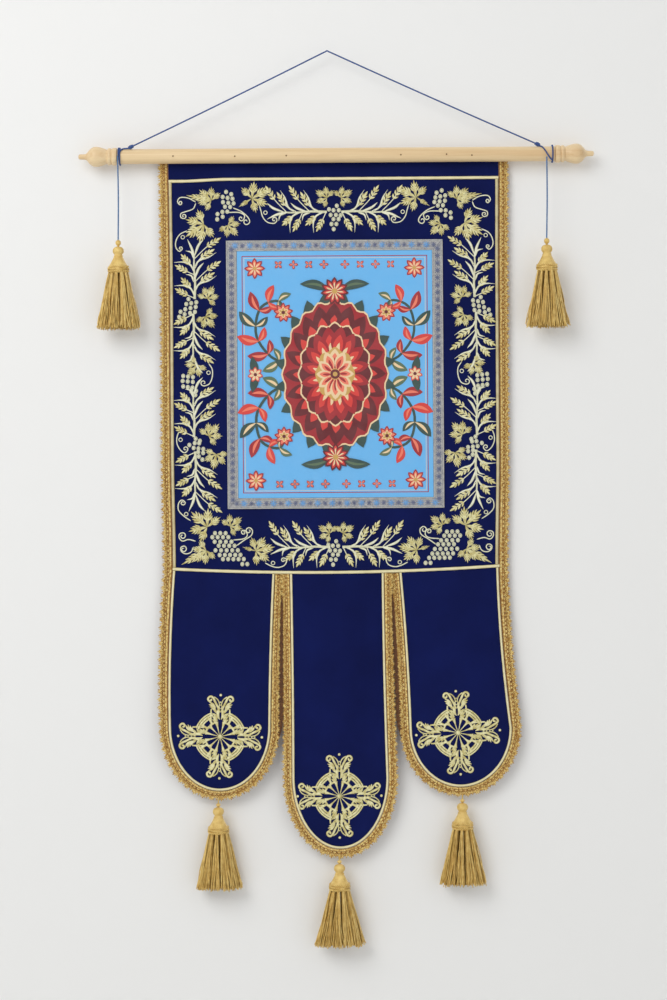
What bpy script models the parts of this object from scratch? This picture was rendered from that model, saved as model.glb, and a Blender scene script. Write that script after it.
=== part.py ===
# Church banner on a hanging rod.
#
# A velvet field with three round-ended lappets hangs behind a turned wooden rod, which a cord carries.
# Metres, +Z up. The front faces -Y, and the origin is the point that the cord hangs from.
#
# Every piece that lies on the velvet is placed by two flat coordinates, x and z, and by its height in
# front of the velvet. The depth comes from one drape function, so the pieces follow the cloth together.

import math

import bmesh
import bpy
from mathutils import Vector

MM = 0.001
GAP = 0.4 * MM  # clearance between pieces that touch

# Rod and finials
ROD_RADIUS = 14 * MM
ROD_Z = -198.5 * MM
ROD_LEFT = -399.3 * MM
ROD_RIGHT = 431.3 * MM
ROD_SIDES = 28
FINIAL_SIDES = 16
FINIAL_LENGTH = 74 * MM
FINIAL_PROFILE = (  # mm from the tip, radius in mm
    (0.0, 3.2),
    (1.6, 4.9),
    (12.0, 5.2),
    (16.5, 7.2),
    (23.0, 14.6),
    (33.5, 19.0),
    (43.0, 17.4),
    (50.0, 15.2),
    (55.5, 13.4),
    (57.5, 15.6),
    (61.5, 15.9),
    (63.5, 14.2),
    (66.0, 16.4),
    (72.0, 16.4),
    (74.0, 15.0),
)

# Cord: the inverted V, its knots on the rod and the two tails
CORD_DIAMETER = 3.0 * MM
CORD_RADIUS = CORD_DIAMETER / 2
WRAP_RADIUS = ROD_RADIUS + CORD_RADIUS + GAP  # a turn's middle line round the rod
KNOT_SIZE = Vector((6.4, 4.2, 4.2)) * MM
KNOT_LIFT = 0.2 * MM  # between the rod and the knot's lump
KNOT_ANGLE = 72  # degrees up from the rod's front
KNOT_X = {"left": -373.0 * MM, "right": 398.0 * MM}
RING_X = {"left": -394.4 * MM, "right": 426.2 * MM}
TAIL_X = {"left": -397.6 * MM, "right": 414.6 * MM}
TURN_PITCH = 2.3 * MM  # between the two turns at the left end, which press together
TURN_STEPS = 18
TAIL_TOP_Z = {"left": -198.9 * MM, "right": -206.0 * MM}
STRAND_ROUTE = {  # the strand from the knot to its turn: x in mm, degrees up from the rod's front
    "left": ((-376, 70), (-382, 66), (-388, 58), (-392, 42), (-394.2, 20), (-394.4, 0)),
    "right": ((402, 66), (407, 46), (412, 16), (416.5, -12), (421, -36), (425.6, -58)),
}
STRAND_STEPS = 8
V_ROUTE = (  # shares of each half from its knot to the hanging point, and the sag there in mm
    (0.0, 0.0),
    (0.25, 0.9),
    (0.5, 1.2),
    (0.75, 0.9),
    (0.96, 0.2),
    (0.99, 0.3),
)
POINTS_PER_HALF = 20
TAIL_STEP = 9 * MM
TAIL_BOW = 0.8 * MM  # sideways at the middle of a tail

# Velvet
CLOTH_THICK = 2.4 * MM
CLOTH_FRONT = ROD_RADIUS + GAP  # y of the velvet's front where it lies flat
CLOTH_TOP_Z = ROD_Z + 6 * MM
SIDE_EDGES = (  # z, left edge and right edge of the field, in mm
    (-190.0, -304.0, 325.0),
    (-420.0, -302.6, 323.6),
    (-760.0, -302.8, 323.4),
    (-985.0, -300.5, 320.0),
)
SEAM_LEFT_Z = -982.5 * MM
SEAM_RIGHT_Z = -980.5 * MM
SEAM_SAG = 9.5 * MM
FIELD_BANDS = (5, 6, 5)  # columns beside, under and beside the panel
FIELD_ROWS = 18
LAPPET_COLUMNS, LAPPET_ROWS = 12, 8
LAPPETS = {  # in mm: both edges at the seam and at the arc, how far each bows to the right
    # half-way, where the arc starts and where it ends
    "left": ((-300.5, -106.0), (-310.0, -115.8), (-3.6, -1.6), -1283.0, -1404.5),
    "middle": ((-77.9, 101.9), (-75.8, 108.0), (0.8, -1.4), -1380.0, -1516.0),
    "right": ((130.0, 320.0), (147.6, 342.8), (2.4, -4.0), -1288.0, -1400.0),
}
FOLDS = (  # the soft swells: x, z, half width, half height and depth, in mm
    (-258.0, -470.0, 32.0, 170.0, 2.6),
    (-256.0, -820.0, 33.0, 150.0, 3.2),
    (280.0, -430.0, 32.0, 160.0, 2.8),
    (276.0, -790.0, 33.0, 150.0, 3.2),
    (-238.0, -1140.0, 52.0, 150.0, 5.0),
    (-170.0, -1330.0, 60.0, 110.0, 3.2),
    (42.0, -1180.0, 48.0, 170.0, 4.2),
    (-16.0, -1430.0, 58.0, 110.0, 3.4),
    (262.0, -1120.0, 56.0, 140.0, 5.4),
    (206.0, -1310.0, 56.0, 110.0, 3.4),
)
LEAN_TOP_Z = -1000 * MM  # the lappets lean out from here, pushed off the wall by their tassels
LEAN_BOTTOM_Z = -1400 * MM
LEAN_DEPTH = 11 * MM

# Centre panel and its braid
PANEL_X, PANEL_Z = 11.3 * MM, -613.5 * MM
PANEL_WIDTH, PANEL_HEIGHT = 371.5 * MM, 470 * MM
PANEL_THICK = 1.2 * MM
BRAID_WIDTH = 20.3 * MM
BRAID_THICK = 1.6 * MM
TRIM_GAP = 0.7 * MM  # room in front of the velvet, which swells between its points

# Piping
PIPING_WIDTH, PIPING_HEIGHT = 5.8 * MM, 2.8 * MM
LAPPET_PIPING_WIDTH, LAPPET_PIPING_HEIGHT = 4.0 * MM, 2.4 * MM
PIPING_INSET = 0.3 * MM  # from the velvet's edge to the piping's outer side
TOP_PIPING_Z = -241.0 * MM
PIPING_STEP = 26 * MM
LAPPET_PIPING_STEP = 18 * MM
CROSSWISE_STEPS = 100  # of the lines that run across the whole field

# Lace
LACE_WIDTH = 20 * MM
LACE_TOOTH = 5 * MM
LACE_PITCH = 15.3 * MM
LACE_THICK = 1.4 * MM
LACE_TOP_Z = ROD_Z + 2 * MM
LACE_SET_BACK = 0.3 * MM  # behind the velvet's front
MIDDLE_LACE_SET_OUT = 0.5 * MM  # in front of it, so that it passes over its neighbours

# Tassels
TASSEL_SIDES = 16
TASSEL_PROFILE = (  # mm below the ball's middle, radius in mm
    (-7.6, 4.2),
    (-5.4, 8.2),
    (-1.0, 10.3),
    (3.8, 9.7),
    (7.8, 7.2),
    (13.0, 8.9),
    (21.0, 12.7),
    (28.0, 17.2),
    (31.5, 19.4),
    (33.5, 17.6),
    (36.0, 19.8),
    (41.0, 19.0),
)
TASSEL_BEADS = {  # the wound bead over the ball, in the same way: on the cords and on the lappets
    "cord": ((-19.4, 3.4), (-17.2, 4.9), (-13.4, 5.0), (-10.4, 3.7), (-8.6, 2.4)),
    "lappet": ((-14.4, 3.1), (-12.6, 4.1), (-10.2, 3.7), (-8.6, 2.2)),
}
TASSEL_LOOP_RADIUS = 1.6 * MM
TASSEL_LOOP_CLEARANCE = 0.3 * MM  # more than the usual gap in front of the lace's teeth
TASSEL_ROOTS = (17.8, 13.2, 12.2, 5.6)  # mm: outer locks' band, then inner locks' band
TASSEL_LOCK_LEVELS = (  # share of the skirt's length, share of its spread
    (0.34, 0.42),
    (1.0, 1.0),
)
TASSEL_SKIRT = 108 * MM
TASSEL_FLATNESS = 0.58  # the skirt's depth over its width
TASSEL_UNEVEN = 4 * MM
TASSEL_UNEVEN_TURN = 3.7  # radians from one lock to the next
TASSELS = {  # in mm: x, height of the ball's middle, top of its loop or bead, width of the skirt's hem
    "tassel_left": (-397.6, -378.6, -358.4, 82.0),
    "tassel_right": (413.4, -380.4, -360.2, 80.0),
    "tassel_lappet_left": (-216.2, -1443.0, -1417.0, 86.0),
    "tassel_lappet_middle": (13.2, -1552.0, -1527.0, 92.0),
    "tassel_lappet_right": (247.4, -1438.0, -1413.0, 86.0),
}

COLOURS = {  # base colour, roughness
    "birch": ((0.75, 0.56, 0.34), 0.5),
    "blue_cord": ((0.03, 0.08, 0.27), 0.7),
    "navy_velvet": ((0.006, 0.009, 0.09), 0.9),
    "printed_cloth": ((0.13, 0.48, 0.80), 0.6),
    "silver_braid": ((0.38, 0.40, 0.44), 0.45),
    "cream_piping": ((0.86, 0.78, 0.47), 0.5),
    "gold_lace": ((0.52, 0.30, 0.07), 0.5),
    "gold_thread": ((0.55, 0.37, 0.13), 0.45),
}


# Shared makers

def clear_scene():
    for item in list(bpy.data.objects):
        bpy.data.objects.remove(item, do_unlink=True)


def material(name):
    found = bpy.data.materials.get(name)
    if found:
        return found
    colour, roughness = COLOURS[name]
    made = bpy.data.materials.new(name)
    made.use_nodes = True
    shader = made.node_tree.nodes["Principled BSDF"]
    shader.inputs["Base Color"].default_value = (*colour, 1)
    shader.inputs["Roughness"].default_value = roughness
    return made


def add_object(name, data, colour):
    item = bpy.data.objects.new(name, data)
    data.materials.append(material(colour))
    bpy.context.scene.collection.objects.link(item)
    return item


def add_mesh(name, bm, colour, smooth_degrees=40):
    bmesh.ops.recalc_face_normals(bm, faces=bm.faces)
    mesh = bpy.data.meshes.new(name)
    bm.to_mesh(mesh)
    bm.free()
    mesh.shade_smooth()
    mesh.set_sharp_from_angle(angle=math.radians(smooth_degrees))
    return add_object(name, mesh, colour)


def ring_walls(bm, rings):
    """Quads between each ring of points and the next."""
    for low, high in zip(rings, rings[1:]):
        for i in range(len(low)):
            j = (i + 1) % len(low)
            bm.faces.new((low[i], low[j], high[j], high[i]))


def curve_through(points, count):
    """Points at even parameters on a smooth curve through the given ones."""
    padded = [2 * points[0] - points[1], *points, 2 * points[-1] - points[-2]]
    found = []
    for k in range(count + 1):
        place = min(k / count * (len(points) - 1), len(points) - 1 - 1e-9)
        i, t = int(place), place - int(place)
        a, b, c, d = padded[i : i + 4]
        bend = (2 * a - 5 * b + 4 * c - d) * t * t + (3 * b - a - 3 * c + d) * t**3
        found.append(0.5 * (2 * b + (c - a) * t + bend))
    return found


def add_tube(name, points, colour):
    """A cord as a beveled poly curve with capped ends."""
    curve = bpy.data.curves.new(name, "CURVE")
    curve.dimensions = "3D"
    curve.bevel_depth = CORD_RADIUS
    curve.bevel_resolution = 2
    curve.use_fill_caps = True
    spline = curve.splines.new("POLY")
    spline.points.add(len(points) - 1)
    for point, place in zip(spline.points, points):
        point.co = (*place, 1)
    return add_object(name, curve, colour)


# The velvet's shape

def seam_z(x):
    left, right = SIDE_EDGES[-1][1] * MM, SIDE_EDGES[-1][2] * MM
    t = (x - left) / (right - left)
    return SEAM_LEFT_Z + (SEAM_RIGHT_Z - SEAM_LEFT_Z) * t - SEAM_SAG * 4 * t * (1 - t)


def field_edges(z):
    """The field's left and right edges at this height."""
    for (z0, left0, right0), (z1, left1, right1) in zip(SIDE_EDGES, SIDE_EDGES[1:]):
        if z >= z1 * MM or z1 == SIDE_EDGES[-1][0]:
            t = (z - z0 * MM) / ((z1 - z0) * MM)
            t = t * t * (3 - 2 * t) if 0 < t < 1 else max(0.0, min(1.0, t))
            return (left0 + (left1 - left0) * t) * MM, (right0 + (right1 - right0) * t) * MM


def lappet_edges(name, z):
    tops, arcs, bows, arc_z, _ = LAPPETS[name]
    top_z = seam_z((tops[0] + tops[1]) / 2 * MM)
    t = max(0.0, min(1.0, (z - top_z) / (arc_z * MM - top_z)))
    return [(top + (arc - top) * t + bow * 4 * t * (1 - t)) * MM for top, arc, bow in zip(tops, arcs, bows)]


def drape(x, z):
    """How far the velvet stands out towards the front here."""
    swell = sum(
        depth * MM * math.exp(-(((x / MM - fold_x) / wide) ** 2) - ((z / MM - fold_z) / high) ** 2)
        for fold_x, fold_z, wide, high, depth in FOLDS
    )
    t = max(0.0, min(1.0, (LEAN_TOP_Z - z) / (LEAN_TOP_Z - LEAN_BOTTOM_Z)))
    return swell + LEAN_DEPTH * t * t * (3 - 2 * t)


def on_velvet(x, z, height=0.0):
    """The point this far in front of the velvet's face."""
    return Vector((x, CLOTH_FRONT - drape(x, z) - height, z))


def add_sheet(name, grid, colour):
    """A closed sheet from a grid of its front face's points, thickened backwards."""
    bm = bmesh.new()
    rows = [[bm.verts.new(point) for point in row] for row in grid]
    for upper, lower in zip(rows, rows[1:]):
        for i in range(len(upper) - 1):
            bm.faces.new((upper[i], lower[i], lower[i + 1], upper[i + 1]))
    back = bmesh.ops.extrude_face_region(bm, geom=bm.faces[:])
    moved = [item for item in back["geom"] if isinstance(item, bmesh.types.BMVert)]
    bmesh.ops.translate(bm, verts=moved, vec=(0, CLOTH_THICK, 0))
    return add_mesh(name, bm, colour)


def field_columns(z):
    """The x of the field's columns at this height, closer together beside the panel, where it swells."""
    left, right = field_edges(z)
    reach = PANEL_WIDTH / 2 + BRAID_WIDTH
    stops = (left, PANEL_X - reach, PANEL_X + reach, right)
    found = [left]
    for start, end, steps in zip(stops, stops[1:], FIELD_BANDS):
        found += [start + (end - start) * (k + 1) / steps for k in range(steps)]
    return found


def build_field():
    grid = []
    for row in range(FIELD_ROWS + 1):
        v = row / FIELD_ROWS
        columns = field_columns(CLOTH_TOP_Z + (SEAM_LEFT_Z - CLOTH_TOP_Z) * v)
        grid.append(
            [on_velvet(x, CLOTH_TOP_Z + (seam_z(x) + GAP / 2 - CLOTH_TOP_Z) * v) for x in columns]
        )
    add_sheet("field", grid, "navy_velvet")


def lappet_arc(name, angle):
    """The point of the lappet's round end at this angle from its left edge to its right."""
    _, _, _, arc_z, end_z = LAPPETS[name]
    left, right = lappet_edges(name, arc_z * MM)
    x = (left + right) / 2 - (right - left) / 2 * math.cos(angle)
    return x, (arc_z - (arc_z - end_z) * math.sin(angle)) * MM


def build_lappet(name):
    grid = []
    for row in range(LAPPET_ROWS + 1):
        points = []
        for column in range(LAPPET_COLUMNS + 1):
            angle = math.pi * column / LAPPET_COLUMNS
            u = (1 - math.cos(angle)) / 2
            _, low_z = lappet_arc(name, angle)
            left, right = lappet_edges(name, 0)
            high_z = seam_z(left + (right - left) * u) - GAP / 2
            z = high_z + (low_z - high_z) * row / LAPPET_ROWS
            left, right = lappet_edges(name, z)
            points.append(on_velvet(left + (right - left) * u, z))
        grid.append(points)
    add_sheet("lappet_" + name, grid, "navy_velvet")


# Trims that run along a line on the velvet

FINE = 3 * MM  # step of the outlines that the trims are spaced along
ARC_STEPS = 60


def down(edges, side, top_z, bottom_z):
    """Points down one edge, given the function that returns both edges."""
    count = max(2, round((top_z - bottom_z) / FINE))
    heights = [top_z + (bottom_z - top_z) * k / count for k in range(count + 1)]
    return [(edges(z)[side], z) for z in heights]


def lappet_outline(name):
    """Round the lappet from the seam on its left to the seam on its right."""
    def edges(z):
        return lappet_edges(name, z)

    arc_z = LAPPETS[name][3] * MM
    start = PIPING_WIDTH / 2 + GAP
    left, right = edges(0)
    arc = [lappet_arc(name, math.pi * k / ARC_STEPS) for k in range(1, ARC_STEPS)]
    left_side = down(edges, 0, seam_z(left) - start, arc_z)
    right_side = down(edges, 1, seam_z(right) - start, arc_z)
    return left_side + arc + right_side[::-1]


def side_and_lappet(name):
    """Down the field's side from behind the rod, and round that side's lappet to the notch."""
    side = 0 if name == "left" else 1
    beside = down(field_edges, side, LACE_TOP_Z, seam_z(lappet_edges(name, 0)[side]) + FINE)
    around = lappet_outline(name)
    return beside + around if name == "left" else beside + around[::-1]


def spaced(outline, step, outward):
    """Evenly spaced places on an outline, each with its normal to the outward side (1 left, -1 right)."""
    lengths = [0.0]
    for (x0, z0), (x1, z1) in zip(outline, outline[1:]):
        lengths.append(lengths[-1] + math.hypot(x1 - x0, z1 - z0))
    count = round(lengths[-1] / step)
    places, segment = [], 0
    for k in range(count + 1):
        wanted = lengths[-1] * k / count
        while segment < len(lengths) - 2 and lengths[segment + 1] < wanted:
            segment += 1
        (x0, z0), (x1, z1) = outline[segment], outline[segment + 1]
        t = (wanted - lengths[segment]) / (lengths[segment + 1] - lengths[segment])
        long = math.hypot(x1 - x0, z1 - z0)
        across = (-(z1 - z0) / long * outward, (x1 - x0) / long * outward)
        places.append((x0 + (x1 - x0) * t, z0 + (z1 - z0) * t, across))
    return places


def add_trim(name, places, section, colour):
    """Sweeps a section along the places. It gives (distance outwards, height) for each place's number."""
    bm = bmesh.new()
    rings = []
    for number, (x, z, across) in enumerate(places):
        ring = []
        for out, height in section(number):
            px, pz = x + across[0] * out, z + across[1] * out
            ring.append(bm.verts.new(on_velvet(px, pz, height)))
        rings.append(ring)
    ring_walls(bm, rings)
    bm.faces.new(rings[0])
    bm.faces.new(rings[-1])
    return add_mesh(name, bm, colour)


def piping_section(width, height, outer=0.0):
    """A low ridge whose outer side is this far outwards."""
    shape = ((0, 0), (0.16, 0.9), (0.84, 0.9), (1, 0))
    points = [(outer - width * u, TRIM_GAP + height * v) for u, v in shape]
    return lambda number: points


def lace_section(height):
    """A flat ribbon with a tooth at every second place."""
    def section(number):
        outer = LACE_WIDTH - LACE_TOOTH * (number % 2)
        return ((GAP, height), (outer, height), (outer, height - LACE_THICK), (GAP, height - LACE_THICK))

    return section


def build_piping():
    left, right = field_edges(TOP_PIPING_Z)
    half = PIPING_WIDTH / 2
    ridge = piping_section(PIPING_WIDTH, PIPING_HEIGHT, half)

    def across(height):
        start, long = left + PIPING_INSET, right - left - 2 * PIPING_INSET
        xs = [start + long * k / CROSSWISE_STEPS for k in range(CROSSWISE_STEPS + 1)]
        return [(x, height(x)) for x in xs]

    add_trim("piping_top", spaced(across(lambda x: TOP_PIPING_Z), PIPING_STEP, 1), ridge, "cream_piping")
    add_trim("piping_seam", spaced(across(seam_z), PIPING_STEP, 1), ridge, "cream_piping")
    edge_ridge = piping_section(PIPING_WIDTH, PIPING_HEIGHT, -PIPING_INSET)
    for side, name in enumerate(("left", "right")):
        top = TOP_PIPING_Z - half - GAP
        bottom = seam_z(field_edges(SEAM_LEFT_Z)[side]) + half + GAP
        places = spaced(down(field_edges, side, top, bottom), PIPING_STEP, -1 if side == 0 else 1)
        add_trim("piping_" + name, places, edge_ridge, "cream_piping")
    thin_ridge = piping_section(LAPPET_PIPING_WIDTH, LAPPET_PIPING_HEIGHT, -PIPING_INSET)
    for name in LAPPETS:
        places = spaced(lappet_outline(name), LAPPET_PIPING_STEP, -1)
        add_trim("piping_lappet_" + name, places, thin_ridge, "cream_piping")


def build_lace():
    behind = lace_section(-LACE_SET_BACK)
    add_trim("lace_left", spaced(side_and_lappet("left"), LACE_PITCH / 2, -1), behind, "gold_lace")
    add_trim("lace_right", spaced(side_and_lappet("right"), LACE_PITCH / 2, 1), behind, "gold_lace")
    before = lace_section(MIDDLE_LACE_SET_OUT + LACE_THICK)
    add_trim("lace_middle", spaced(lappet_outline("middle"), LACE_PITCH / 2, -1), before, "gold_lace")


# Centre panel and braid

def add_plate(name, corners, thick, colour):
    """A flat piece on the velvet, from its corners in x and z."""
    bm = bmesh.new()
    back_y = CLOTH_FRONT - TRIM_GAP
    face = bm.faces.new([bm.verts.new((x, back_y, z)) for x, z in corners])
    front = bmesh.ops.extrude_face_region(bm, geom=[face])
    moved = [item for item in front["geom"] if isinstance(item, bmesh.types.BMVert)]
    bmesh.ops.translate(bm, verts=moved, vec=(0, -thick, 0))
    return add_mesh(name, bm, colour)


def build_panel():
    half_x, half_z = PANEL_WIDTH / 2, PANEL_HEIGHT / 2
    signs = ((-1, 1), (1, 1), (1, -1), (-1, -1))
    corners = [(PANEL_X + sx * half_x, PANEL_Z + sz * half_z) for sx, sz in signs]
    add_plate("centre_panel", corners, PANEL_THICK, "printed_cloth")
    for number, name in enumerate(("top", "right", "bottom", "left")):
        (ax, az), (bx, bz) = signs[number], signs[(number + 1) % 4]
        shift = (bx - ax) / 2 * GAP / 2, (bz - az) / 2 * GAP / 2  # clears the mitres
        inner, outer = GAP, GAP + BRAID_WIDTH
        strip = []
        for sx, sz, out, end in (
            (ax, az, outer, 1), (bx, bz, outer, -1), (bx, bz, inner, -1), (ax, az, inner, 1)
        ):
            x = PANEL_X + sx * (half_x + out) + end * shift[0]
            z = PANEL_Z + sz * (half_z + out) + end * shift[1]
            strip.append((x, z))
        add_plate("braid_" + name, strip, BRAID_THICK, "silver_braid")


# Rod, finials and cords

def add_turned(name, profile, sides, start, direction, colour):
    """A shape turned round an axis along X. The profile gives distance along the axis and radius."""
    bm = bmesh.new()
    rings = []
    for along, radius in profile:
        ring = []
        for k in range(sides):
            angle = 2 * math.pi * k / sides
            x = start + direction * along
            ring.append(bm.verts.new((x, radius * math.cos(angle), ROD_Z + radius * math.sin(angle))))
        rings.append(ring)
    ring_walls(bm, rings)
    bm.faces.new(rings[0])
    bm.faces.new(rings[-1])
    return add_mesh(name, bm, colour)


def build_rod():
    bevel = 1 * MM
    long = ROD_RIGHT - ROD_LEFT
    profile = (
        (0, ROD_RADIUS - bevel), (bevel, ROD_RADIUS), (long - bevel, ROD_RADIUS), (long, ROD_RADIUS - bevel)
    )
    add_turned("rod", profile, ROD_SIDES, ROD_LEFT, 1, "birch")
    finial = [(along * MM, radius * MM) for along, radius in FINIAL_PROFILE]
    tip_left = ROD_LEFT - GAP - FINIAL_LENGTH
    tip_right = ROD_RIGHT + GAP + FINIAL_LENGTH
    add_turned("finial_left", finial, FINIAL_SIDES, tip_left, 1, "birch")
    add_turned("finial_right", finial, FINIAL_SIDES, tip_right, -1, "birch")


def round_rod(x, degrees, radius=WRAP_RADIUS):
    """A place beside the rod, so many degrees up from its front."""
    angle = math.radians(degrees)
    return Vector((x, -radius * math.cos(angle), ROD_Z + radius * math.sin(angle)))


def tube_mesh(points, closed=False, sides=6):
    """A closed tube mesh along points that lie round the rod."""
    bm = bmesh.new()
    rings = []
    last = len(points) - 1
    for i, place in enumerate(points):
        ahead = points[(i + 1) % len(points)] if closed else points[min(i + 1, last)]
        before = points[i - 1] if closed else points[max(i - 1, 0)]
        along = (ahead - before).normalized()
        outward = Vector((0, place.y, place.z - ROD_Z))
        outward = (outward - along * outward.dot(along)).normalized()
        beside = along.cross(outward)
        ring = []
        for k in range(sides):
            angle = 2 * math.pi * (k + 0.5) / sides
            offset = outward * math.cos(angle) + beside * math.sin(angle)
            ring.append(bm.verts.new(place + offset * CORD_RADIUS))
        rings.append(ring)
    ring_walls(bm, rings + rings[:1] if closed else rings)
    if not closed:
        bm.faces.new(rings[0])
        bm.faces.new(rings[-1])
    return bm


def build_knot(side):
    """The knot on the rod, its strand over the front and the turn round the rod, fused."""
    name = "knot_" + side
    turn = [round_rod(RING_X[side], 360 * k / TURN_STEPS) for k in range(TURN_STEPS)]
    body = add_mesh(name, tube_mesh(turn, closed=True), "blue_cord")
    places = [round_rod(x * MM, degrees) for x, degrees in STRAND_ROUTE[side]]
    pieces = [tube_mesh(curve_through(places, STRAND_STEPS))]
    if side == "left":
        half_turn = [180 - 360 * k / TURN_STEPS for k in range(TURN_STEPS // 2 + 1)]
        over = [round_rod(RING_X[side] - TURN_PITCH, degrees) for degrees in half_turn]
        pieces.append(tube_mesh(over))
    lump = bmesh.new()
    bmesh.ops.create_uvsphere(lump, u_segments=8, v_segments=6, radius=1)
    bmesh.ops.scale(lump, verts=lump.verts, vec=KNOT_SIZE)
    bmesh.ops.translate(lump, verts=lump.verts, vec=knot_place(side))
    pieces.append(lump)
    for number, piece in enumerate(pieces):
        other = add_mesh(f"{name}_piece_{number}", piece, "blue_cord")
        other.hide_render = True
        other.display_type = "WIRE"
        union = body.modifiers.new("Fuse", "BOOLEAN")
        union.operation = "UNION"
        union.object = other


def knot_place(side):
    return round_rod(KNOT_X[side], KNOT_ANGLE, ROD_RADIUS + KNOT_SIZE.z + KNOT_LIFT)


def build_hanging_cord():
    """From the left knot over the hanging point to the right knot."""
    halves = []
    for side in ("left", "right"):
        knot = knot_place(side)
        start = knot - knot.normalized() * (KNOT_SIZE.x + GAP)
        halves.append([start * (1 - t) - Vector((0, 0, sag * MM)) for t, sag in V_ROUTE])
    route = halves[0] + [Vector((0, 0, 0))] + halves[1][::-1]
    add_tube("hanging_cord", curve_through(route, 2 * POINTS_PER_HALF), "blue_cord")


def build_tails():
    for side in ("left", "right"):
        x, ball_z, top_z, _ = (value * MM for value in TASSELS["tassel_" + side])
        start = Vector((TAIL_X[side], -WRAP_RADIUS, TAIL_TOP_Z[side]))
        end = Vector((x, -WRAP_RADIUS, top_z + GAP))
        count = round((start.z - end.z) / TAIL_STEP)
        middle = start.lerp(end, 0.5) + Vector((TAIL_BOW, 0, 0))
        add_tube("cord_" + side, curve_through([start, middle, end], count), "blue_cord")


# Tassels

def build_tassel(name):
    """A wound head with a skirt of locks that are drawn out of its underside."""
    x, ball_z, top_z, hem = (value * MM for value in TASSELS[name])
    if "lappet" in name:
        lace_front = CLOTH_FRONT - drape(x, top_z) + LACE_SET_BACK
        if "middle" in name:
            lace_front -= LACE_SET_BACK + MIDDLE_LACE_SET_OUT + LACE_THICK
        y = lace_front - GAP - TASSEL_LOOP_RADIUS - TASSEL_LOOP_CLEARANCE
        bead = TASSEL_BEADS["lappet"]
    else:
        y = -WRAP_RADIUS
        bead = TASSEL_BEADS["cord"]
    head = [(-(top_z - ball_z) / MM, TASSEL_LOOP_RADIUS / MM)]
    if "lappet" in name:
        head.append((bead[0][0] - TASSEL_LOOP_RADIUS / MM, TASSEL_LOOP_RADIUS / MM))
    head += [*bead, *TASSEL_PROFILE]
    foot = head[-1][0]
    bands = [(foot, radius) for radius in TASSEL_ROOTS]

    bm = bmesh.new()
    rings = []
    for depth, radius in head + bands:
        ring = []
        for k in range(TASSEL_SIDES):
            angle = 2 * math.pi * k / TASSEL_SIDES
            place = Vector((radius * math.cos(angle), radius * math.sin(angle), -depth)) * MM
            ring.append(bm.verts.new(place))
        rings.append(ring)
    ring_walls(bm, rings)
    bm.faces.new(rings[0])
    bm.faces.new(rings[-1])
    bm.faces.ensure_lookup_table()
    first = len(head) * TASSEL_SIDES  # the faces of the outer locks' band start here
    outer = [bm.faces[first + k] for k in range(0, TASSEL_SIDES, 2)]
    inner = [bm.faces[first + 2 * TASSEL_SIDES + k] for k in range(1, TASSEL_SIDES, 2)]

    tips = outer + inner
    roots = [[vert.co.copy() for vert in face.verts] for face in tips]
    for share, spread in TASSEL_LOCK_LEVELS:
        tips = bmesh.ops.extrude_discrete_faces(bm, faces=tips)["faces"]
        for number, (face, root) in enumerate(zip(tips, roots)):
            wide = hem / 2 / (TASSEL_ROOTS[0] * MM)
            grow_x = 1 + (wide - 1) * spread
            grow_y = 1 + (wide * TASSEL_FLATNESS - 1) * spread
            short = 0.5 + 0.5 * math.sin(TASSEL_UNEVEN_TURN * number)
            drop = (TASSEL_SKIRT - TASSEL_UNEVEN * short) * share
            for vert, start in zip(face.verts, root):
                vert.co = (start.x * grow_x, start.y * grow_y, start.z - drop)
    bmesh.ops.translate(bm, verts=bm.verts, vec=(x, y, ball_z))
    add_mesh(name, bm, "gold_thread")


def main():
    clear_scene()
    build_rod()
    for side in ("left", "right"):
        build_knot(side)
    build_hanging_cord()
    build_tails()
    build_field()
    for name in LAPPETS:
        build_lappet(name)
    build_panel()
    build_piping()
    build_lace()
    for name in TASSELS:
        build_tassel(name)


main()
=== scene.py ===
import math
from functools import partial

import bmesh
import bpy
import numpy as np
from mathutils import Matrix, Vector


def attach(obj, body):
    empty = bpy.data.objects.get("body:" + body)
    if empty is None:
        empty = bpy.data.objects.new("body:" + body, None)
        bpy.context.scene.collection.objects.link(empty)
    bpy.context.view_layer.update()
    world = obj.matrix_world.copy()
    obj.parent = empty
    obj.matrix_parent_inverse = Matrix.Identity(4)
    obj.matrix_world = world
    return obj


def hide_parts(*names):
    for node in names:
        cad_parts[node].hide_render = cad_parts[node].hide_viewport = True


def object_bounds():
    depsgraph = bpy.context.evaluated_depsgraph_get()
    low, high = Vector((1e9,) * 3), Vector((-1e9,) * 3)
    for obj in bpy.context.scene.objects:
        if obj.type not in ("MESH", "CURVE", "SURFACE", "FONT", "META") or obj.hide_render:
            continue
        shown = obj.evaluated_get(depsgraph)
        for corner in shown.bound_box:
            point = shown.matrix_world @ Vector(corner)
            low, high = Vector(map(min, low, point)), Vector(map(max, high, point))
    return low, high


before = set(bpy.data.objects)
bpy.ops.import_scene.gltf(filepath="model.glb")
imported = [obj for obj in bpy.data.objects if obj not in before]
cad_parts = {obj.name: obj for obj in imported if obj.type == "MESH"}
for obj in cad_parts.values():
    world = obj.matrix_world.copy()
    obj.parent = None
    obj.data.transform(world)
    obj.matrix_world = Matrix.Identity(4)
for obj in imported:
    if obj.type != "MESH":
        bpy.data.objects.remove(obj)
cadBounds = [list(corner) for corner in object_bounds()]

# All sizes are in millimetres unless a name says otherwise; meshes are made in metres.
# Pieces on the velvet are drawn flat as (x, z, height) and laid on its folds at the end.
mm = 0.001
tau = 2 * math.pi


# Helpers for node trees

def setInput(tree, socket, value):
    if isinstance(value, bpy.types.NodeSocket):
        tree.links.new(value, socket)
    elif socket.type == "RGBA" and len(value) == 3:
        socket.default_value = (*value, 1)
    else:
        socket.default_value = value


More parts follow.
